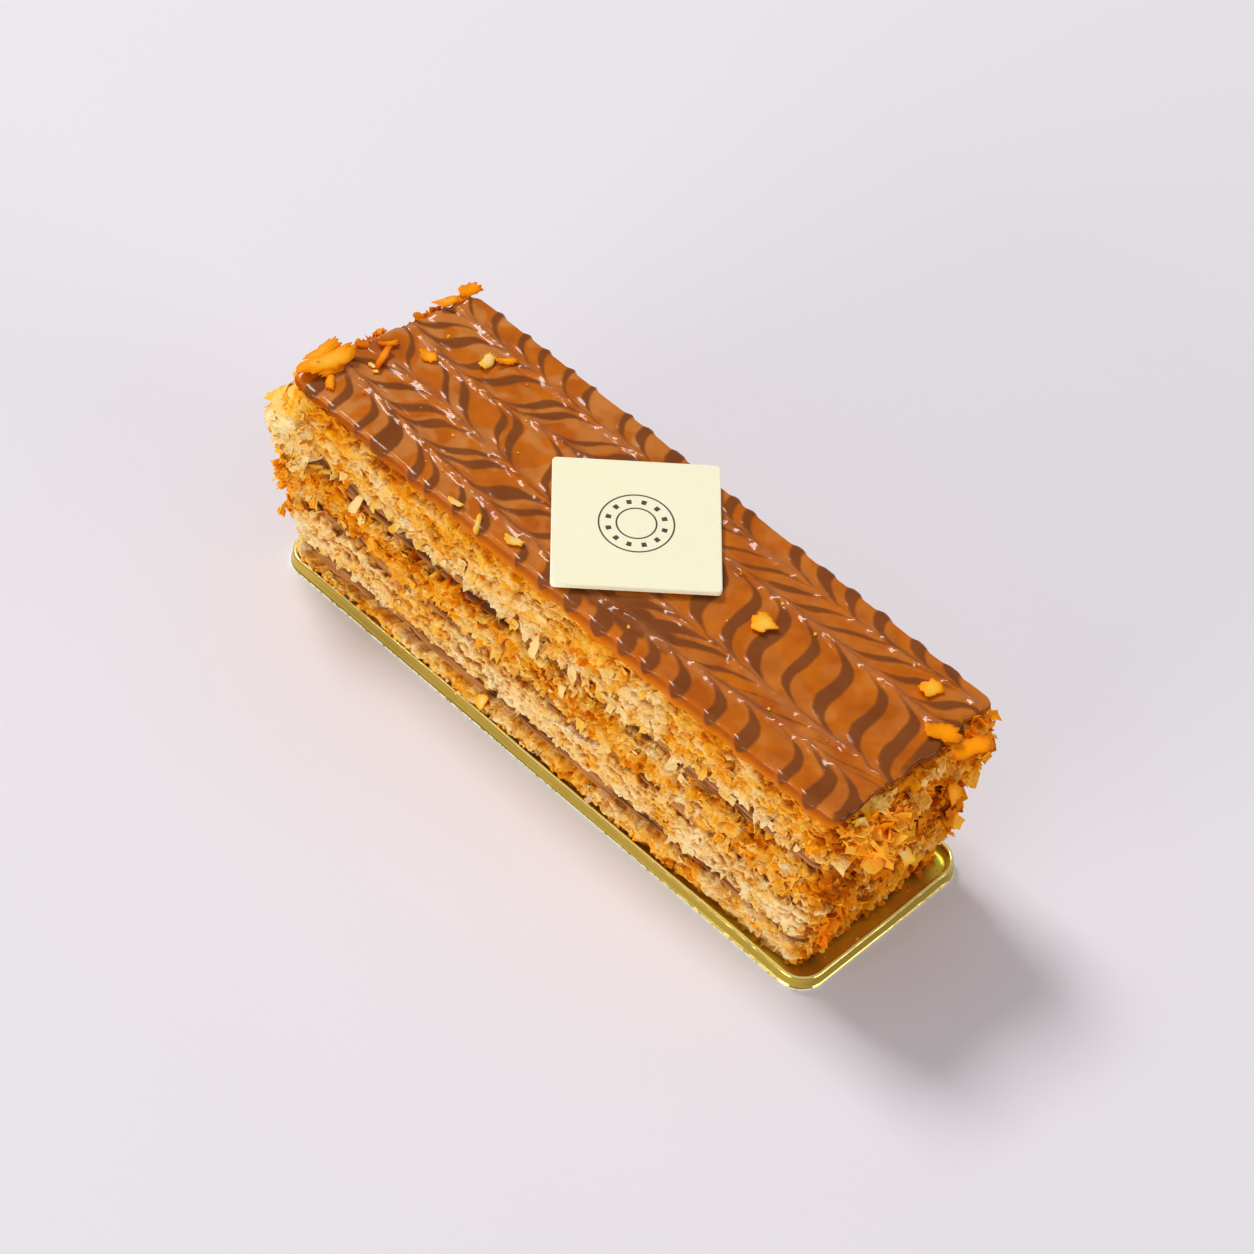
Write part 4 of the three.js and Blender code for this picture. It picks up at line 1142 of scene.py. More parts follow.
# %% Glaze mesh
def glaze_piece():
    """The combed top, its rounded edge and the lip that hangs down the sides."""
    x, y = glaze_plan()
    rows, columns = x.shape
    inside = (SLICE["width"] + LIP["spare"]) / 2 - np.abs(y - SLICE["y"] - LIP["spare"] / 2)
    fade = np.clip((inside - 0.7) / 1.2, 0, 1)
    dark = chocolate_at(x, y)
    z = GLAZE_TOP + comb_ridges(x, y) * fade + 0.1 * np.clip(dark, -0.5, 0.5)
    top = np.stack([x, y, z], -1).reshape(-1, 3)
    border = border_of(rows, columns)
    edge = top[border]
    ahead, behind = np.roll(edge, -2, 0), np.roll(edge, 2, 0)
    tangent = unit((ahead - behind)[:, :2])
    outward = np.stack([tangent[:, 1], -tangent[:, 0], np.zeros(len(edge))], -1)
    edge_dark = dark.reshape(-1)[border]
    front = LIP["front"] - LIP["short"] * np.clip((-22 - edge[:, 0]) / 30, 0, 1)
    long_side = np.where(outward[:, 1] < 0, front, LIP["back"])
    drop = LIP["end"] + (long_side - LIP["end"]) * np.abs(outward[:, 1]) ** 2
    drop = drop + 0.4 * smooth_noise(edge, (9, 9, 9), 380) + 0.5 * rough_noise(edge, (3, 3, 3), 381)
    drop = np.maximum(drop, 0.85)
    wander = 0.3 * rough_noise(edge, (5, 5, 5), 382) + 0.38 * np.clip(edge_dark + 0.4, 0, 1.2)
    turn = LIP["round"]
    profile = [(turn * math.sin(a), turn * (1 - math.cos(a)), 0) for a in np.radians((20, 42, 64, 86))]
    for out, share in ((0.1, 0.35), (0.14, 0.6), (0.1, 0.8), (-0.05, 0.94), (-0.3, 1.0), (-0.8, 0.96)):
        profile.append((turn + out, 0, share))
    rings, ring_dark, ring_thin, ring_low = [], [], [], []
    for n, (out, down, share) in enumerate(profile):
        fall = np.maximum(down, share * drop) if share else np.full(len(edge), down)
        grown = (wander * min(1, (n + 1) / 3))[:, None] * outward
        ring = edge + out * outward + grown
        ring[:, 2] = edge[:, 2] - fall
        rings.append(ring)
        ring_dark.append(edge_dark - 0.9 * np.maximum(fall - 0.5, 0))
        ring_thin.append(np.clip((fall - 0.25) / 0.5, 0, 1))
        ring_low.append(np.clip((fall - 0.8) / 2.4, 0, 1) * np.clip((edge[:, 0] + 64) / 40, 0.1, 1))
    inner = edge - 1.2 * outward
    inner[:, 2] = GLAZE_TOP - LIP["under"]
    rings.append(inner)
    ring_dark.append(np.zeros(len(edge)))
    ring_thin.append(np.zeros(len(edge)))
    ring_low.append(np.ones(len(edge)))
    cell = np.arange(rows * columns).reshape(rows, columns)
    quads = np.stack([cell[:-1, :-1], cell[:-1, 1:], cell[1:, 1:], cell[1:, :-1]], -1).reshape(-1, 4)
    faces = quads.tolist()
    count = len(border)
    start = rows * columns
    for n in range(count):
        m = (n + 1) % count
        faces.append([int(border[m]), int(border[n]), start + n, start + m])
    lower = np.array(ring_faces(len(rings), count, start))[:, ::-1]
    faces += lower.tolist()
    last = start + (len(rings) - 1) * count
    faces.append(list(range(last, last + count))[::-1])
    around = np.zeros(len(rings) * count)
    # The combed mark carries the painted sheen of the comb ridges.
    piece = new_piece("glaze_combed", np.concatenate([top, *rings]), faces, GLAZE, True, {
        "combed": np.concatenate([(comb_sheen_at(x, y) * fade).ravel(), around]),
        "chocolate": np.concatenate([dark.ravel(), *ring_dark]),
        "thin": np.concatenate([np.zeros(rows * columns), *ring_thin]),
        "low": np.concatenate([np.zeros(rows * columns), *ring_low])})
    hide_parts("glaze")
    return piece


glaze_piece()

# %% [markdown]
# ## Loose flakes
# Flakes have broken off and lie on the glaze, the largest at the far corner and at the square
# end. They are more orange and glossier than the torn sides, so they have a material of their
# own, with the same grain in broader patches.


# %% Flake material
def flake_material():
    """A flake, from pale dough to toasted, darker at its torn edge."""
    material, tree, shader = new_material("toasted_flake")
    grain = place_grain(tree, 0.7)
    tone = calculate(tree, "MULTIPLY_ADD", grain["Mottle"], 0.5, mark_value(tree, "toast"))
    tint = colour_ramp(
        tree, calculate(tree, "SUBTRACT", tone, 0.22, clamp=True),
        (0.0, colour(250, 214, 140)), (0.14, colour(255, 200, 70)), (0.45, colour(255, 156, 0)),
        (1.0, colour(214, 88, 0)))
    roughness = calculate(tree, "MULTIPLY_ADD", grain["Grain"], 0.2, 0.42)
    finish_surface(tree, shader, tint, roughness, grain["Height"], 0.35, 0.1)
    let_light_in(shader, 0.1, (1.0, 0.4, 0.05), 0.5, 0.08)
    return material


TOASTED = flake_material()
print("flake material:", TOASTED.name)

# %% [markdown]
# A flake is a disc of rings and spokes, stretched and torn at its outer ring. Its front and its
# back are the same sheet moved apart, thinner towards the edge.

# %% One flake
FLAKE_RINGS, FLAKE_SPOKES = 5, 34


def torn_sheet(random, length, width, bend, thickness=0.45):
    """A curved sheet with a jagged outline lying round the origin: points, faces and tone."""
    angle = np.linspace(0, 2 * np.pi, FLAKE_SPOKES, endpoint=False)
    ragged = 1 + 0.09 * random.standard_normal(FLAKE_SPOKES)
    slow = 1 + 0.12 * np.sin(2 * angle + random.uniform(0, 6))
    slow = slow + 0.08 * np.sin(3 * angle + random.uniform(0, 6))
    square = 1 / np.maximum(np.abs(np.cos(angle)), np.abs(np.sin(angle))) ** 0.6
    reach = ragged * slow * square
    share = np.linspace(0, 1, FLAKE_RINGS)[1:, None]
    wide = np.where(share == 1, reach, 1 + (reach - 1) * share * 0.7)
    x = np.concatenate([[0.0], (length / 2 * share * np.cos(angle) * wide).ravel()])
    y = np.concatenate([[0.0], (width / 2 * share * np.sin(angle) * wide).ravel()])
    z = bend * (x / length * 2) ** 2 - 0.5 * bend * (y / width * 2) ** 2
    z = z + 0.16 * rough_noise(np.stack([x, y, 0 * x], -1), 1.6, int(random.integers(1, 9999)))
    rim = np.concatenate([[0], np.repeat(share.ravel(), FLAKE_SPOKES)])
    half = thickness / 2 * (1 - 0.5 * rim ** 3)
    points = np.concatenate([np.stack([x, y, z + half], -1), np.stack([x, y, z - half], -1)])
    count = len(x)
    faces = []
    for n in range(FLAKE_SPOKES):
        m = (n + 1) % FLAKE_SPOKES
        faces.append([0, 1 + n, 1 + m])
        faces.append([count, count + 1 + m, count + 1 + n])
        for ring in range(FLAKE_RINGS - 2):
            a, b = 1 + ring * FLAKE_SPOKES, 1 + (ring + 1) * FLAKE_SPOKES
            faces.append([a + n, b + n, b + m, a + m])
            faces.append([count + a + m, count + b + m, count + b + n, count + a + n])
        edge = 1 + (FLAKE_RINGS - 2) * FLAKE_SPOKES
        faces.append([edge + m, edge + n, count + edge + n, count + edge + m])
    tone = np.tile(0.25 + 0.3 * rim ** 2, 2)
    return points, faces, tone


print("points on one flake:", 2 * (1 + FLAKE_SPOKES * (FLAKE_RINGS - 1)))

# %% [markdown]
# The large flakes are laid one by one, because the eye knows where they lie: in a heap at the
# far corner, a few along the glaze, and some pale ones that hang from the side. Each row of the
# table is one flake, and all of them become one mesh.

# %% Places of the flakes
LOOSE_FLAKES = [                   # place, height over the glaze, size, turn, tilts, bend and tone
    (-66.6, -10.2, 1.0, 8.2, 3.0, 100, -10, 6, 0.3, 0.0),
    (-64.1, -11.2, 1.5, 9.6, 3.6, 76, 10, -4, 0.3, 0.0),
    (-62.7, -11.2, 0.8, 5.6, 2.2, 82, 24, 4, -0.2, 0.25),
    (-60.9, -13.6, 0.3, 3.4, 1.4, -48, 8, 10, 0.2, 0.15),
    (-65.4, -13.6, 0.4, 4.0, 1.8, 30, -8, 6, 0.2, 0.2),
    (-61.6, 14.6, 0.9, 4.6, 2.4, 80, -14, 6, 0.2, 0.05),
    (-61.0, 19.4, 1.2, 4.2, 2.2, 70, 18, -8, 0.3, 0.15),
    (-60.9, 17.4, 0.5, 4.0, 1.6, 84, 10, 4, 0.2, 0.25),
    (-59.2, -2.8, 0.6, 5.0, 1.6, -70, 20, 6, 0.2, 0.35),
    (-61.0, 0.2, 0.5, 3.4, 1.6, 66, -16, 8, 0.2, 0.3),
    (-63.6, -2.4, 0.1, 4.2, 1.6, 70, 12, 6, 0.2, 0.4),
    (-54.4, 3.5, 0.4, 2.8, 2.3, 30, 6, 8, 0.2, 0.05),
    (-46.7, 10.3, 0.4, 3.9, 1.9, 100, 8, 6, 0.2, -0.35),
    (-44.6, 12.9, 0.5, 3.8, 1.2, 62, 12, 10, 0.3, 0.1),
    (26.4, 3.6, 0.4, 4.6, 3.6, 160, 4, 6, 0.2, -0.15),
    (54.4, 14.4, 0.4, 3.4, 3.2, 80, 6, -4, 0.2, -0.1),
    (62.0, 8.9, 0.6, 6.0, 2.8, 42, 8, 4, 0.3, 0.1),
    (66.4, 11.2, -1.2, 6.4, 3.2, 62, 14, -6, 0.4, 0.15),
    (-26.4, -16.4, 0.3, 2.6, 1.5, 10, -20, 0, 0.2, -0.35),
    (-20.6, -16.9, 0.0, 3.6, 1.1, -58, -28, 10, 0.2, -0.3),
    (-13.8, -15.0, 0.3, 3.0, 1.9, 35, 0, 8, 0.2, -0.3),
    (-59.2, -5.3, 0.2, 1.4, 0.8, 10, 0, 0, 0.1, -0.4),
    (-57.8, -5.8, 0.2, 1.1, 0.7, 60, 0, 0, 0.1, -0.3),
]


print("flakes placed:", len(LOOSE_FLAKES))

# %% [markdown]
# Laying a flake takes two turns and a shift: it is tilted along and across itself, turned about
# the vertical and set down. Many flakes are one mesh, so their faces are numbered on from the
# flake before.

# %% Laying the flakes
def joined(parts):
    """Several meshes' points, faces and tones as one."""
    points, faces, tones, start = [], [], [], 0
    for part_points, part_faces, tone in parts:
        points.append(part_points)
        faces += [[int(n) + start for n in face] for face in part_faces]
        tones.append(tone)
        start += len(part_points)
    return np.concatenate(points), faces, np.concatenate(tones)


def turned(points, turn, tilt_long, tilt_cross):
    """Points tilted about their length and across it, then turned about the vertical."""
    matrix = Matrix.Identity(3)
    for angle, axis in ((turn, "Z"), (tilt_cross, "Y"), (tilt_long, "X")):
        matrix = matrix @ Matrix.Rotation(math.radians(angle), 3, axis)
    return points @ np.array(matrix).T


HANGING_FLAKES = [                 # the same for pale flakes that hang from the front side
    (-48.3, -18.3, -17.2, 1.7, 5.0, 0, 74, 10, 0.3, -0.5),
    (-46.6, -18.4, -19.8, 1.5, 2.4, 0, 66, -14, 0.2, -0.45),
    (-3.5, -18.8, -15.4, 1.7, 4.6, 0, 76, 8, 0.3, -0.5),
    (3.3, -18.4, -20.8, 1.6, 2.2, 0, 66, -10, 0.2, -0.5),
    (-14.0, -19.3, -38.8, 1.9, 3.6, 0, 70, 6, 0.3, -0.3),
    (63.6, -14.0, -22.0, 2.2, 3.4, 70, 66, 10, 0.3, -0.35),
    (64.4, 2.0, -24.0, 2.4, 4.0, 80, 60, -12, 0.4, -0.3),
    (64.2, -2.0, -14.0, 2.0, 3.0, 84, 56, 12, 0.4, -0.3),
    (64.0, 13.0, -17.0, 2.6, 4.6, 90, 66, -8, 0.4, 0.1),
]


def loose_flakes():
    """All the flakes that lie on the glaze or hang from the sides."""
    random = np.random.default_rng(77)
    parts = []
    for row in LOOSE_FLAKES + HANGING_FLAKES:
        x, y, rise, length, width, turn, tilt_long, tilt_cross, bend, tone = row
        points, faces, shade = torn_sheet(random, length, width, bend, min(0.45, 0.12 * length))
        points = turned(points, turn, tilt_long, tilt_cross) + (x, y, GLAZE_TOP + 0.2 + rise)
        parts.append((points, faces, shade + tone))
    points, faces, tones = joined(parts)
    piece = new_piece("loose_flakes", points, faces, TOASTED, True, {"toast": tones})
    return piece


loose_flakes()

# %% [markdown]
# ## Clumps on the ends
# The square end is the most broken: a clump of bright orange flakes stands out at its front
# corner, with dark hollows beside it. Smaller clumps hang on the rest of both ends. Each is a
# heap of the same leaves, larger and turned every way, which is quicker than modelling flakes
# one by one and looks as careless as the real thing.


# %% Clumps of large flakes
CLUMPS = [                         # place, spread, number, sizes, facing and tone
    ((65.0, -6.6, 33.6), (0.8, 2.5, 2.5), 190, (2.6, 4.8), (1, 0.1, 0.5), 0.3),
    ((63.8, -11.0, 37.4), (0.6, 2.0, 1.6), 60, (1.8, 3.6), (1, -0.3, 0.3), 0.28),
    ((63.4, 14.0, 38.0), (0.4, 3.4, 2.6), 50, (1.6, 3.2), (1, 0.1, 0.1), 0.6),
    ((62.8, 9.5, 34.5), (0.4, 3.0, 1.6), 20, (1.8, 3.2), (1, 0.1, -0.3), 0.6),
    ((61.2, 17.6, 12.0), (0.4, 1.2, 1.4), 14, (1.8, 2.8), (1, 0.4, -0.2), 0.4),
    ((61.6, -13.0, 11.0), (0.4, 2.2, 1.8), 22, (1.4, 2.6), (1, -0.4, 0), 0.55),
    ((-66.5, -17.5, 22.5), (0.8, 1.4, 2.4), 44, (1.6, 3.0), (-1, -0.6, 0), 0.26),
    ((-66.0, -17.5, 28.0), (0.7, 1.2, 1.2), 20, (1.4, 2.6), (-1, -0.6, 0), 0.22),
    ((-65.6, -17.0, 13.0), (0.6, 1.4, 2.0), 26, (1.4, 2.6), (-1, -0.6, -0.1), 0.26),
    ((-62.3, 2.0, 25.0), (0.6, 8.0, 8.0), 70, (1.6, 3.4), (-1, 0.1, 0), 0.45),
    ((-64.6, -3.0, 42.2), (0.4, 3.6, 0.5), 34, (1.0, 2.2), (-1, 0.1, 0.1), 0.55),
    ((-62.4, 10.0, 42.2), (0.4, 4.6, 0.5), 40, (1.0, 2.2), (-1, 0.1, 0.1), 0.55),
]


def clump(random, centre, spread, count, size, facing, tone):
    """Large leaves turned every way round a place."""
    roots = np.array(centre) + np.clip(random.normal(0, 1, (count, 3)), -1.6, 1.6) * np.array(spread)
    outward = unit(np.array(facing) + 0.5 * random.normal(0, 1, (count, 3)))
    length = random.uniform(*size, count)
    points, quads, each = make_leaves(random, roots, outward, length, 0.75 * length,
                                      np.radians(random.normal(0, 50, count)),
                                      np.radians(random.normal(0, 50, count)), 0.2, 0.8)
    return points, quads.tolist(), np.repeat(random.normal(tone, 0.1, count), each)


def end_clumps():
    """The clumps at both ends of the slice."""
    random = np.random.default_rng(91)
    parts = [clump(random, *row) for row in CLUMPS]
    points, faces, tones = joined(parts)
    piece = new_piece("end_clumps", points, faces, TOASTED, False, {"toast": tones})
    return piece


end_clumps()

# %% [markdown]
# ## Crumbs
# Crumbs have fallen onto the floor of the case along the foot of the slice, over its front rim
# and onto the glaze. A crumb needs little shape: each is a small lump with eight corners, pushed
# out of shape, and all of them are one mesh.

# %% Crumbs
CASE_FLOOR = 0.8
LUMP = np.array(list(product((-1, 1), repeat=3)), float)
LUMP_FACES = [(0, 1, 3, 2), (4, 6, 7, 5), (0, 4, 5, 1), (2, 3, 7, 6), (0, 2, 6, 4), (1, 5, 7, 3)]
CRUMB_STRIPS = [                   # number, range along the slice, range across it and height
    (16, (60.4, 63.0), (-18, 18), CASE_FLOOR),
    (30, (-60, 62), (-19.0, -18.3), CASE_FLOOR),
    (26, (-60, 62), (-15, 18), GLAZE_TOP),
]


def crumbs():
    """Crumbs on the floor of the case, over its front rim, and a few on the glaze."""
    random = np.random.default_rng(55)
    places = []
    for count, x_range, y_range, height in CRUMB_STRIPS:
        for _ in range(count):
            places.append((random.uniform(*x_range), random.uniform(*y_range), height))
    for _ in range(90):
        x = -60 + 90 * random.random() ** 1.6
        places.append((x, random.uniform(-19.9, -18.9), random.uniform(2.5, 3.6)))
    parts = []
    for x, y, z in places:
        over_rim = CASE_FLOOR < z < GLAZE_TOP
        size = random.uniform(0.08, 0.34) * (2.0 if over_rim else 1.0)
        lump = LUMP * size * random.uniform(0.3, 1.0, (8, 3))
        lump = turned(lump, random.uniform(0, 360), 20, 20) + (x, y, z + 0.6 * size)
        parts.append((lump, LUMP_FACES, np.full(8, random.uniform(0.0, 0.35 if over_rim else 0.7))))
    points, faces, tones = joined(parts)
    piece = new_piece("crumbs", points, faces, TOASTED, False, {"toast": tones})
    return piece


crumbs()

# %% [markdown]
# ## The plaque
# The plaque is a thin square of white chocolate. The construction model's plate has the right
# shape, so it stays and gets a material: ivory, satin, faintly uneven, with a small printed
# ornament of rings and dots in brown at its middle. The ornament is drawn with distances from
# the plaque's centre, so it stays sharp at any size.

# %% Plaque material
PLAQUE_LOW, PLAQUE_HIGH = box_of("plaque")
PLAQUE_CENTRE = (PLAQUE_LOW + PLAQUE_HIGH) / 2


def ring_mask(tree, distance, radius, width):
    """White on a thin ring at a distance from the centre."""
    off = calculate(tree, "ABSOLUTE", calculate(tree, "SUBTRACT", distance, radius * MM))
    return calculate(tree, "LESS_THAN", off, width * MM / 2)


def plaque_material():
    """Ivory plaque with a printed ornament of rings and dots."""
    material, tree, shader = new_material("ivory_plaque")
    place = object_place(tree)
    centred = new_node(tree, "ShaderNodeMapping", vector_type="TEXTURE",
                       Location=tuple(PLAQUE_CENTRE * MM), Rotation=(0, 0, math.radians(45)))
    connect(tree, place, centred.inputs["Vector"])
    split = new_node(tree, "ShaderNodeSeparateXYZ")
    connect(tree, centred.outputs[0], split.inputs[0])
    across, along = split.outputs[0], split.outputs[1]
    squares = [calculate(tree, "MULTIPLY", side, side) for side in (across, along)]
    distance = calculate(tree, "SQRT", calculate(tree, "ADD", *squares))
    outer, inner = (ring_mask(tree, distance, radius, 0.3) for radius in (6.4, 3.4))
    angle = calculate(tree, "MULTIPLY", calculate(tree, "ARCTAN2", along, across), 6.0)
    wave = calculate(tree, "ABSOLUTE", calculate(tree, "SINE", angle))
    dots = calculate(tree, "MULTIPLY", calculate(tree, "GREATER_THAN", wave, 0.86),
                     ring_mask(tree, distance, 4.9, 0.95))
    ornament = calculate(tree, "ADD", calculate(tree, "ADD", outer, inner), dots, clamp=True)
    cloud = noise_texture(tree, place, 120.0, 4.0)
    ivory = mix_colours(tree, cloud, colour(252, 246, 210), colour(253, 249, 218))
    tint = mix_colours(tree, ornament, ivory, colour(74, 56, 44))
    roughness = calculate(tree, "MULTIPLY_ADD", cloud, 0.2, 0.32)
    finish_surface(tree, shader, tint, roughness, noise_texture(tree, place, 700.0, 3.0), 0.15, 0.05)
    shader.inputs["Subsurface Weight"].default_value = 0.15
    shader.inputs["Subsurface Scale"].default_value = 1.0 * MM
    return material


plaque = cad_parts["plaque"]
plaque.data.materials.clear()
plaque.data.materials.append(plaque_material())
print("plaque's centre:", PLAQUE_CENTRE.round(2))

# %% [markdown]
# ## The gold card case
# The case is card pressed into a shallow tray and faced with gold foil. Its rim is a folded
# edge: round on top, a little crimped where the card had to bend. The foil is a metal shader;
# the crimps and the faint ripple of the card are in the mesh and in a bump. A highlight is
# painted along the top of the rim, and the floor of the case is painted lighter.

# %% Case material
CASE = {"length": 130.0, "width": 41.5, "corner": 5.0, "height": 2.9, "wall": 0.8, "lean": 0.3}


def gold_material():
    """Gold foil on card, with a painted highlight along the top of the rim, a floor painted lighter,
    and the bare cut edge at the foot.
    """
    material, tree, shader = new_material("gold_foil_card")
    place = object_place(tree)
    ripple = noise_texture(tree, place, 90.0, 3.0)
    grain = noise_texture(tree, place, 1400.0, 3.0, 0.6)
    inside, painted_rim_highlight = mark_value(tree, "inside"), mark_value(tree, "rim_highlight")
    bare = calculate(tree, "ADD", grain, mark_value(tree, "cut_edge"))
    paper = calculate(tree, "GREATER_THAN", bare, 1.43)
    gold = mix_colours(tree, ripple, colour(204, 176, 66), colour(226, 202, 98))
    # Painted light: the floor of the case is lighter and yellower than the foil elsewhere, standing in
    # for light it lacks beside the slice.
    deep = mix_colours(tree, inside, gold, colour(246, 240, 96))
    edged = mix_colours(tree, paper, deep, colour(254, 246, 216))
    # Painted highlight: a pale, less metallic line along the top of the rim.
    tint = mix_colours(tree, painted_rim_highlight, edged, colour(255, 244, 158))
    dull = calculate(tree, "MULTIPLY_ADD", painted_rim_highlight, 0.7, paper)
    connect(tree, calculate(tree, "SUBTRACT", 1.0, dull), shader.inputs["Metallic"])
    rough = calculate(tree, "MULTIPLY_ADD", grain, 0.12, 0.07)
    roughness = calculate(tree, "MULTIPLY_ADD", inside, 0.3, rough)
    height = calculate(tree, "MULTIPLY_ADD", grain, 0.04, ripple)
    finish_surface(tree, shader, tint, roughness, height, 0.2, 0.25)
    return material


GOLD = gold_material()
print("case material:", GOLD.name)

# %% [markdown]
# The card is a little under a millimetre thick. Its section runs from the cut edge at the foot up
# the leaning wall, over the rounded rim and down to the floor. The same section is carried once
# round the case, and slow and fine noise makes the rim sway and crimp.

# %% The tray
def case_profile():
    """Inset and height down the outside, over the rim and onto the floor of the case."""
    edge = CASE["wall"] / 2
    lean = CASE["lean"]
    rows = [(0.3, 0.0), (0.02, 0.04), (0.0, 0.2), (0.04, 0.34), (0.2, 0.4), (lean * 0.5 + 0.1, 1.4)]
    for angle in np.radians((0, 35, 70, 88, 112, 145, 180)):
        height = CASE["height"] - edge + edge * math.sin(angle)
        rows.append((lean + edge - edge * math.cos(angle), height))
    inner = lean + CASE["wall"]
    rows += [(inner + 0.1, 1.9), (inner + 0.22, 1.25), (inner + 0.5, 0.92)]
    rows += [(inner + 1.0, CASE_FLOOR), (inner + 3.0, CASE_FLOOR)]
    return rows


def card_case():
    """The tray: one closed mesh with a crimped rim."""
    half = np.array([CASE["length"] / 2, CASE["width"] / 2])
    corners = np.array([(-1, -1), (1, -1), (1, 1), (-1, 1)]) * half
    rings = []
    for inset, height in case_profile():
        flat, outward = rounded_outline(corners, (inset,) * 4, CASE["corner"] - inset * 0.8, 0.5)
        if rings:
            flat, outward = resampled(flat, len(rings[0])), resampled(outward, len(rings[0]))
        place = np.column_stack([flat, np.zeros(len(flat))])
        bend = np.abs(outward[:, 0] * outward[:, 1]) * 2
        crimp = 0.05 * smooth_noise(place, (1.2, 1.2, 1), 402) * (0.4 + bend)
        sway = 0.12 * smooth_noise(place, (16, 16, 1), 401)
        share = min(1, height / 1.0) if height > 0.05 else 0
        flat = flat + ((crimp + sway) * share)[:, None] * outward
        lift = 0.1 * smooth_noise(place, (11, 11, 1), 403) * max(0, height - 1.2) / 2
        rings.append(np.column_stack([flat, height + lift]))
    columns = len(rings[0])
    tall = np.array([height for _, height in case_profile()])
    order = np.arange(len(tall))
    rim = int(np.argmax(tall))
    cut = (order < rim) & (tall < 0.4)
    # The marks lay the painted highlight on the three rings at the top of the rim and the painted
    # lightening on the floor of the case.
    marks = {"cut_edge": np.repeat(cut.astype(float), columns),
             "rim_highlight": np.repeat((np.abs(order - rim) <= 1).astype(float), columns),
             "inside": np.repeat(((order > rim) & (tall < 2.0)).astype(float), columns)}
    faces = closed_faces(len(rings), columns)
    piece = new_piece("card_case_gold", np.array(rings), faces, GOLD, True, marks)
    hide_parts("card_case")
    return piece


card_case()

# %% [markdown]
# ## Floor, light and camera
# The floor is plain and pale, so that nothing takes the eye from the slice and its shadow shows
# softly. It is one large square, and its faint noise keeps it from looking like paper.


# %% Floor
def floor_material():
    """Plain pale floor, very faintly uneven."""
    material, tree, shader = new_material("pale_floor")
    noise = new_node(tree, "ShaderNodeTexNoise", Scale=6.0, Detail=2.0)
    pale = mix_colours(tree, noise.outputs["Fac"], colour(230, 227, 235), colour(234, 231, 239))
    connect(tree, pale, shader.inputs["Base Color"])
    shader.inputs["Roughness"].default_value = 0.85
    return material


def make_floor():
    """A flat square, three metres out on each side."""
    mesh = bpy.data.meshes.new("floor")
    corners = [(3.0 * x, 3.0 * y, 0) for x, y in ((-1, -1), (1, -1), (1, 1), (-1, 1))]
    mesh.from_pydata(corners, [], [(0, 1, 2, 3)])
    mesh.materials.append(floor_material())
    floor = bpy.data.objects.new("floor", mesh)
    bpy.context.scene.collection.objects.link(floor)


make_floor()
print("floor laid")

# %% [markdown]
# Daylight falls in from a window behind the slice on the left. Two low, weaker lamps at the
# front open up the shadows between the leaves, and a pale sky fills in the rest. Area lights
# are used because a large lamp gives the soft edge that a shadow has beside a window.

# %% Light
CAMERA_TURN = math.radians(39.777)         # from the slice's length to the picture's right
CAMERA_RIGHT = Vector((math.cos(CAMERA_TURN), math.sin(CAMERA_TURN), 0))
CAMERA_AHEAD = Vector((-math.sin(CAMERA_TURN), math.cos(CAMERA_TURN), 0))


def soft_light(name, sideways, ahead, height, size, power, tint=(1, 1, 1)):
    """A square area light that points at the slice; places are in metres as the camera sees them."""
    light = bpy.data.lights.new(name, "AREA")
    light.size = size
    light.energy = power
    light.color = tint
    lamp = bpy.data.objects.new(name, light)
    lamp.location = sideways * CAMERA_RIGHT + ahead * CAMERA_AHEAD + Vector((0, 0, height))
    lamp.rotation_euler = (-lamp.location).to_track_quat("-Z", "Y").to_euler()
    bpy.context.scene.collection.objects.link(lamp)


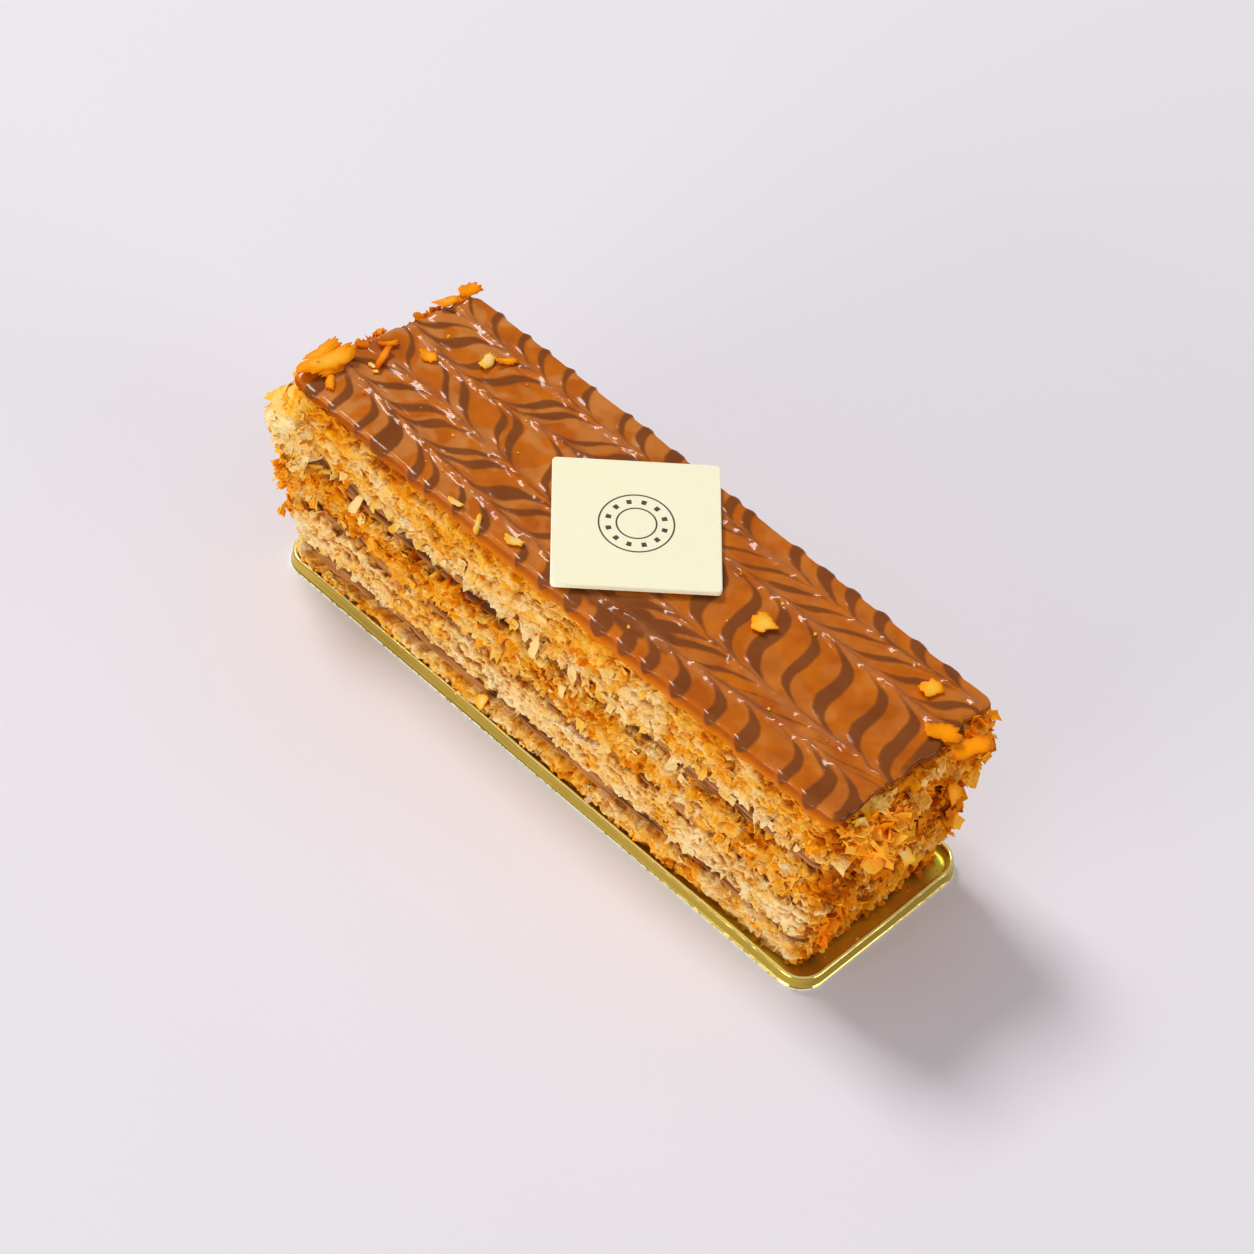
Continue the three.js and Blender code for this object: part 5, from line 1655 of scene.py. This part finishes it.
soft_light("window_left", -1.1, 1.15, 2.1, 0.8, 43.0, (1.0, 0.99, 0.97))
soft_light("low_left", -1.2, -1.3, 0.2, 0.9, 22.5)
soft_light("low_right", 1.8, -0.8, 0.4, 1.0, 13.0)
world = bpy.data.worlds.new("pale_room")
world.use_nodes = True
world.node_tree.nodes["Background"].inputs["Color"].default_value = (1.0, 0.97, 0.96, 1)
world.node_tree.nodes["Background"].inputs["Strength"].default_value = 0.36
bpy.context.scene.world = world
bpy.context.scene.view_settings.view_transform = "Standard"
print("lights:", [item.name for item in bpy.data.lights])

# %% [markdown]
# The camera's place comes from five facts: which way it faces, how far it looks down, how much
# it is rolled, how far away it stands and which point lies at the middle of the picture.

# %% Camera
CAMERA_DOWN = math.radians(49.294)
CAMERA_ROLL = math.radians(7.0)
CAMERA_DISTANCE = 738.541
FOCAL_PIXELS = 4131.0              # focal length, in pixels of a picture 1254 pixels wide
PICTURE_PIXELS = 1254
SENSOR = 36.0


def make_camera():
    """A camera with no shift and no depth of field."""
    right, ahead = CAMERA_RIGHT, CAMERA_AHEAD
    up = Vector((0, 0, 1))
    forward = ahead * math.cos(CAMERA_DOWN) - up * math.sin(CAMERA_DOWN)
    upright = ahead * math.sin(CAMERA_DOWN) + up * math.cos(CAMERA_DOWN)
    rolled_right = right * math.cos(CAMERA_ROLL) + upright * math.sin(CAMERA_ROLL)
    rolled_up = upright * math.cos(CAMERA_ROLL) - right * math.sin(CAMERA_ROLL)
    aim = Vector((0.289, 2.051, 0)) - 1.182 * right + 18.004 * ahead
    place = (aim - CAMERA_DISTANCE * forward) * MM
    data = bpy.data.cameras.new("camera")
    data.sensor_width = SENSOR
    data.lens = FOCAL_PIXELS / PICTURE_PIXELS * SENSOR
    data.clip_start = 0.01
    camera = bpy.data.objects.new("camera", data)
    turn = Matrix((rolled_right, rolled_up, -forward)).transposed().to_4x4()
    camera.matrix_world = Matrix.Translation(place) @ turn
    bpy.context.scene.collection.objects.link(camera)
    bpy.context.scene.camera = camera
    print("camera at", [round(value, 3) for value in place], "lens", round(data.lens, 1))


make_camera()
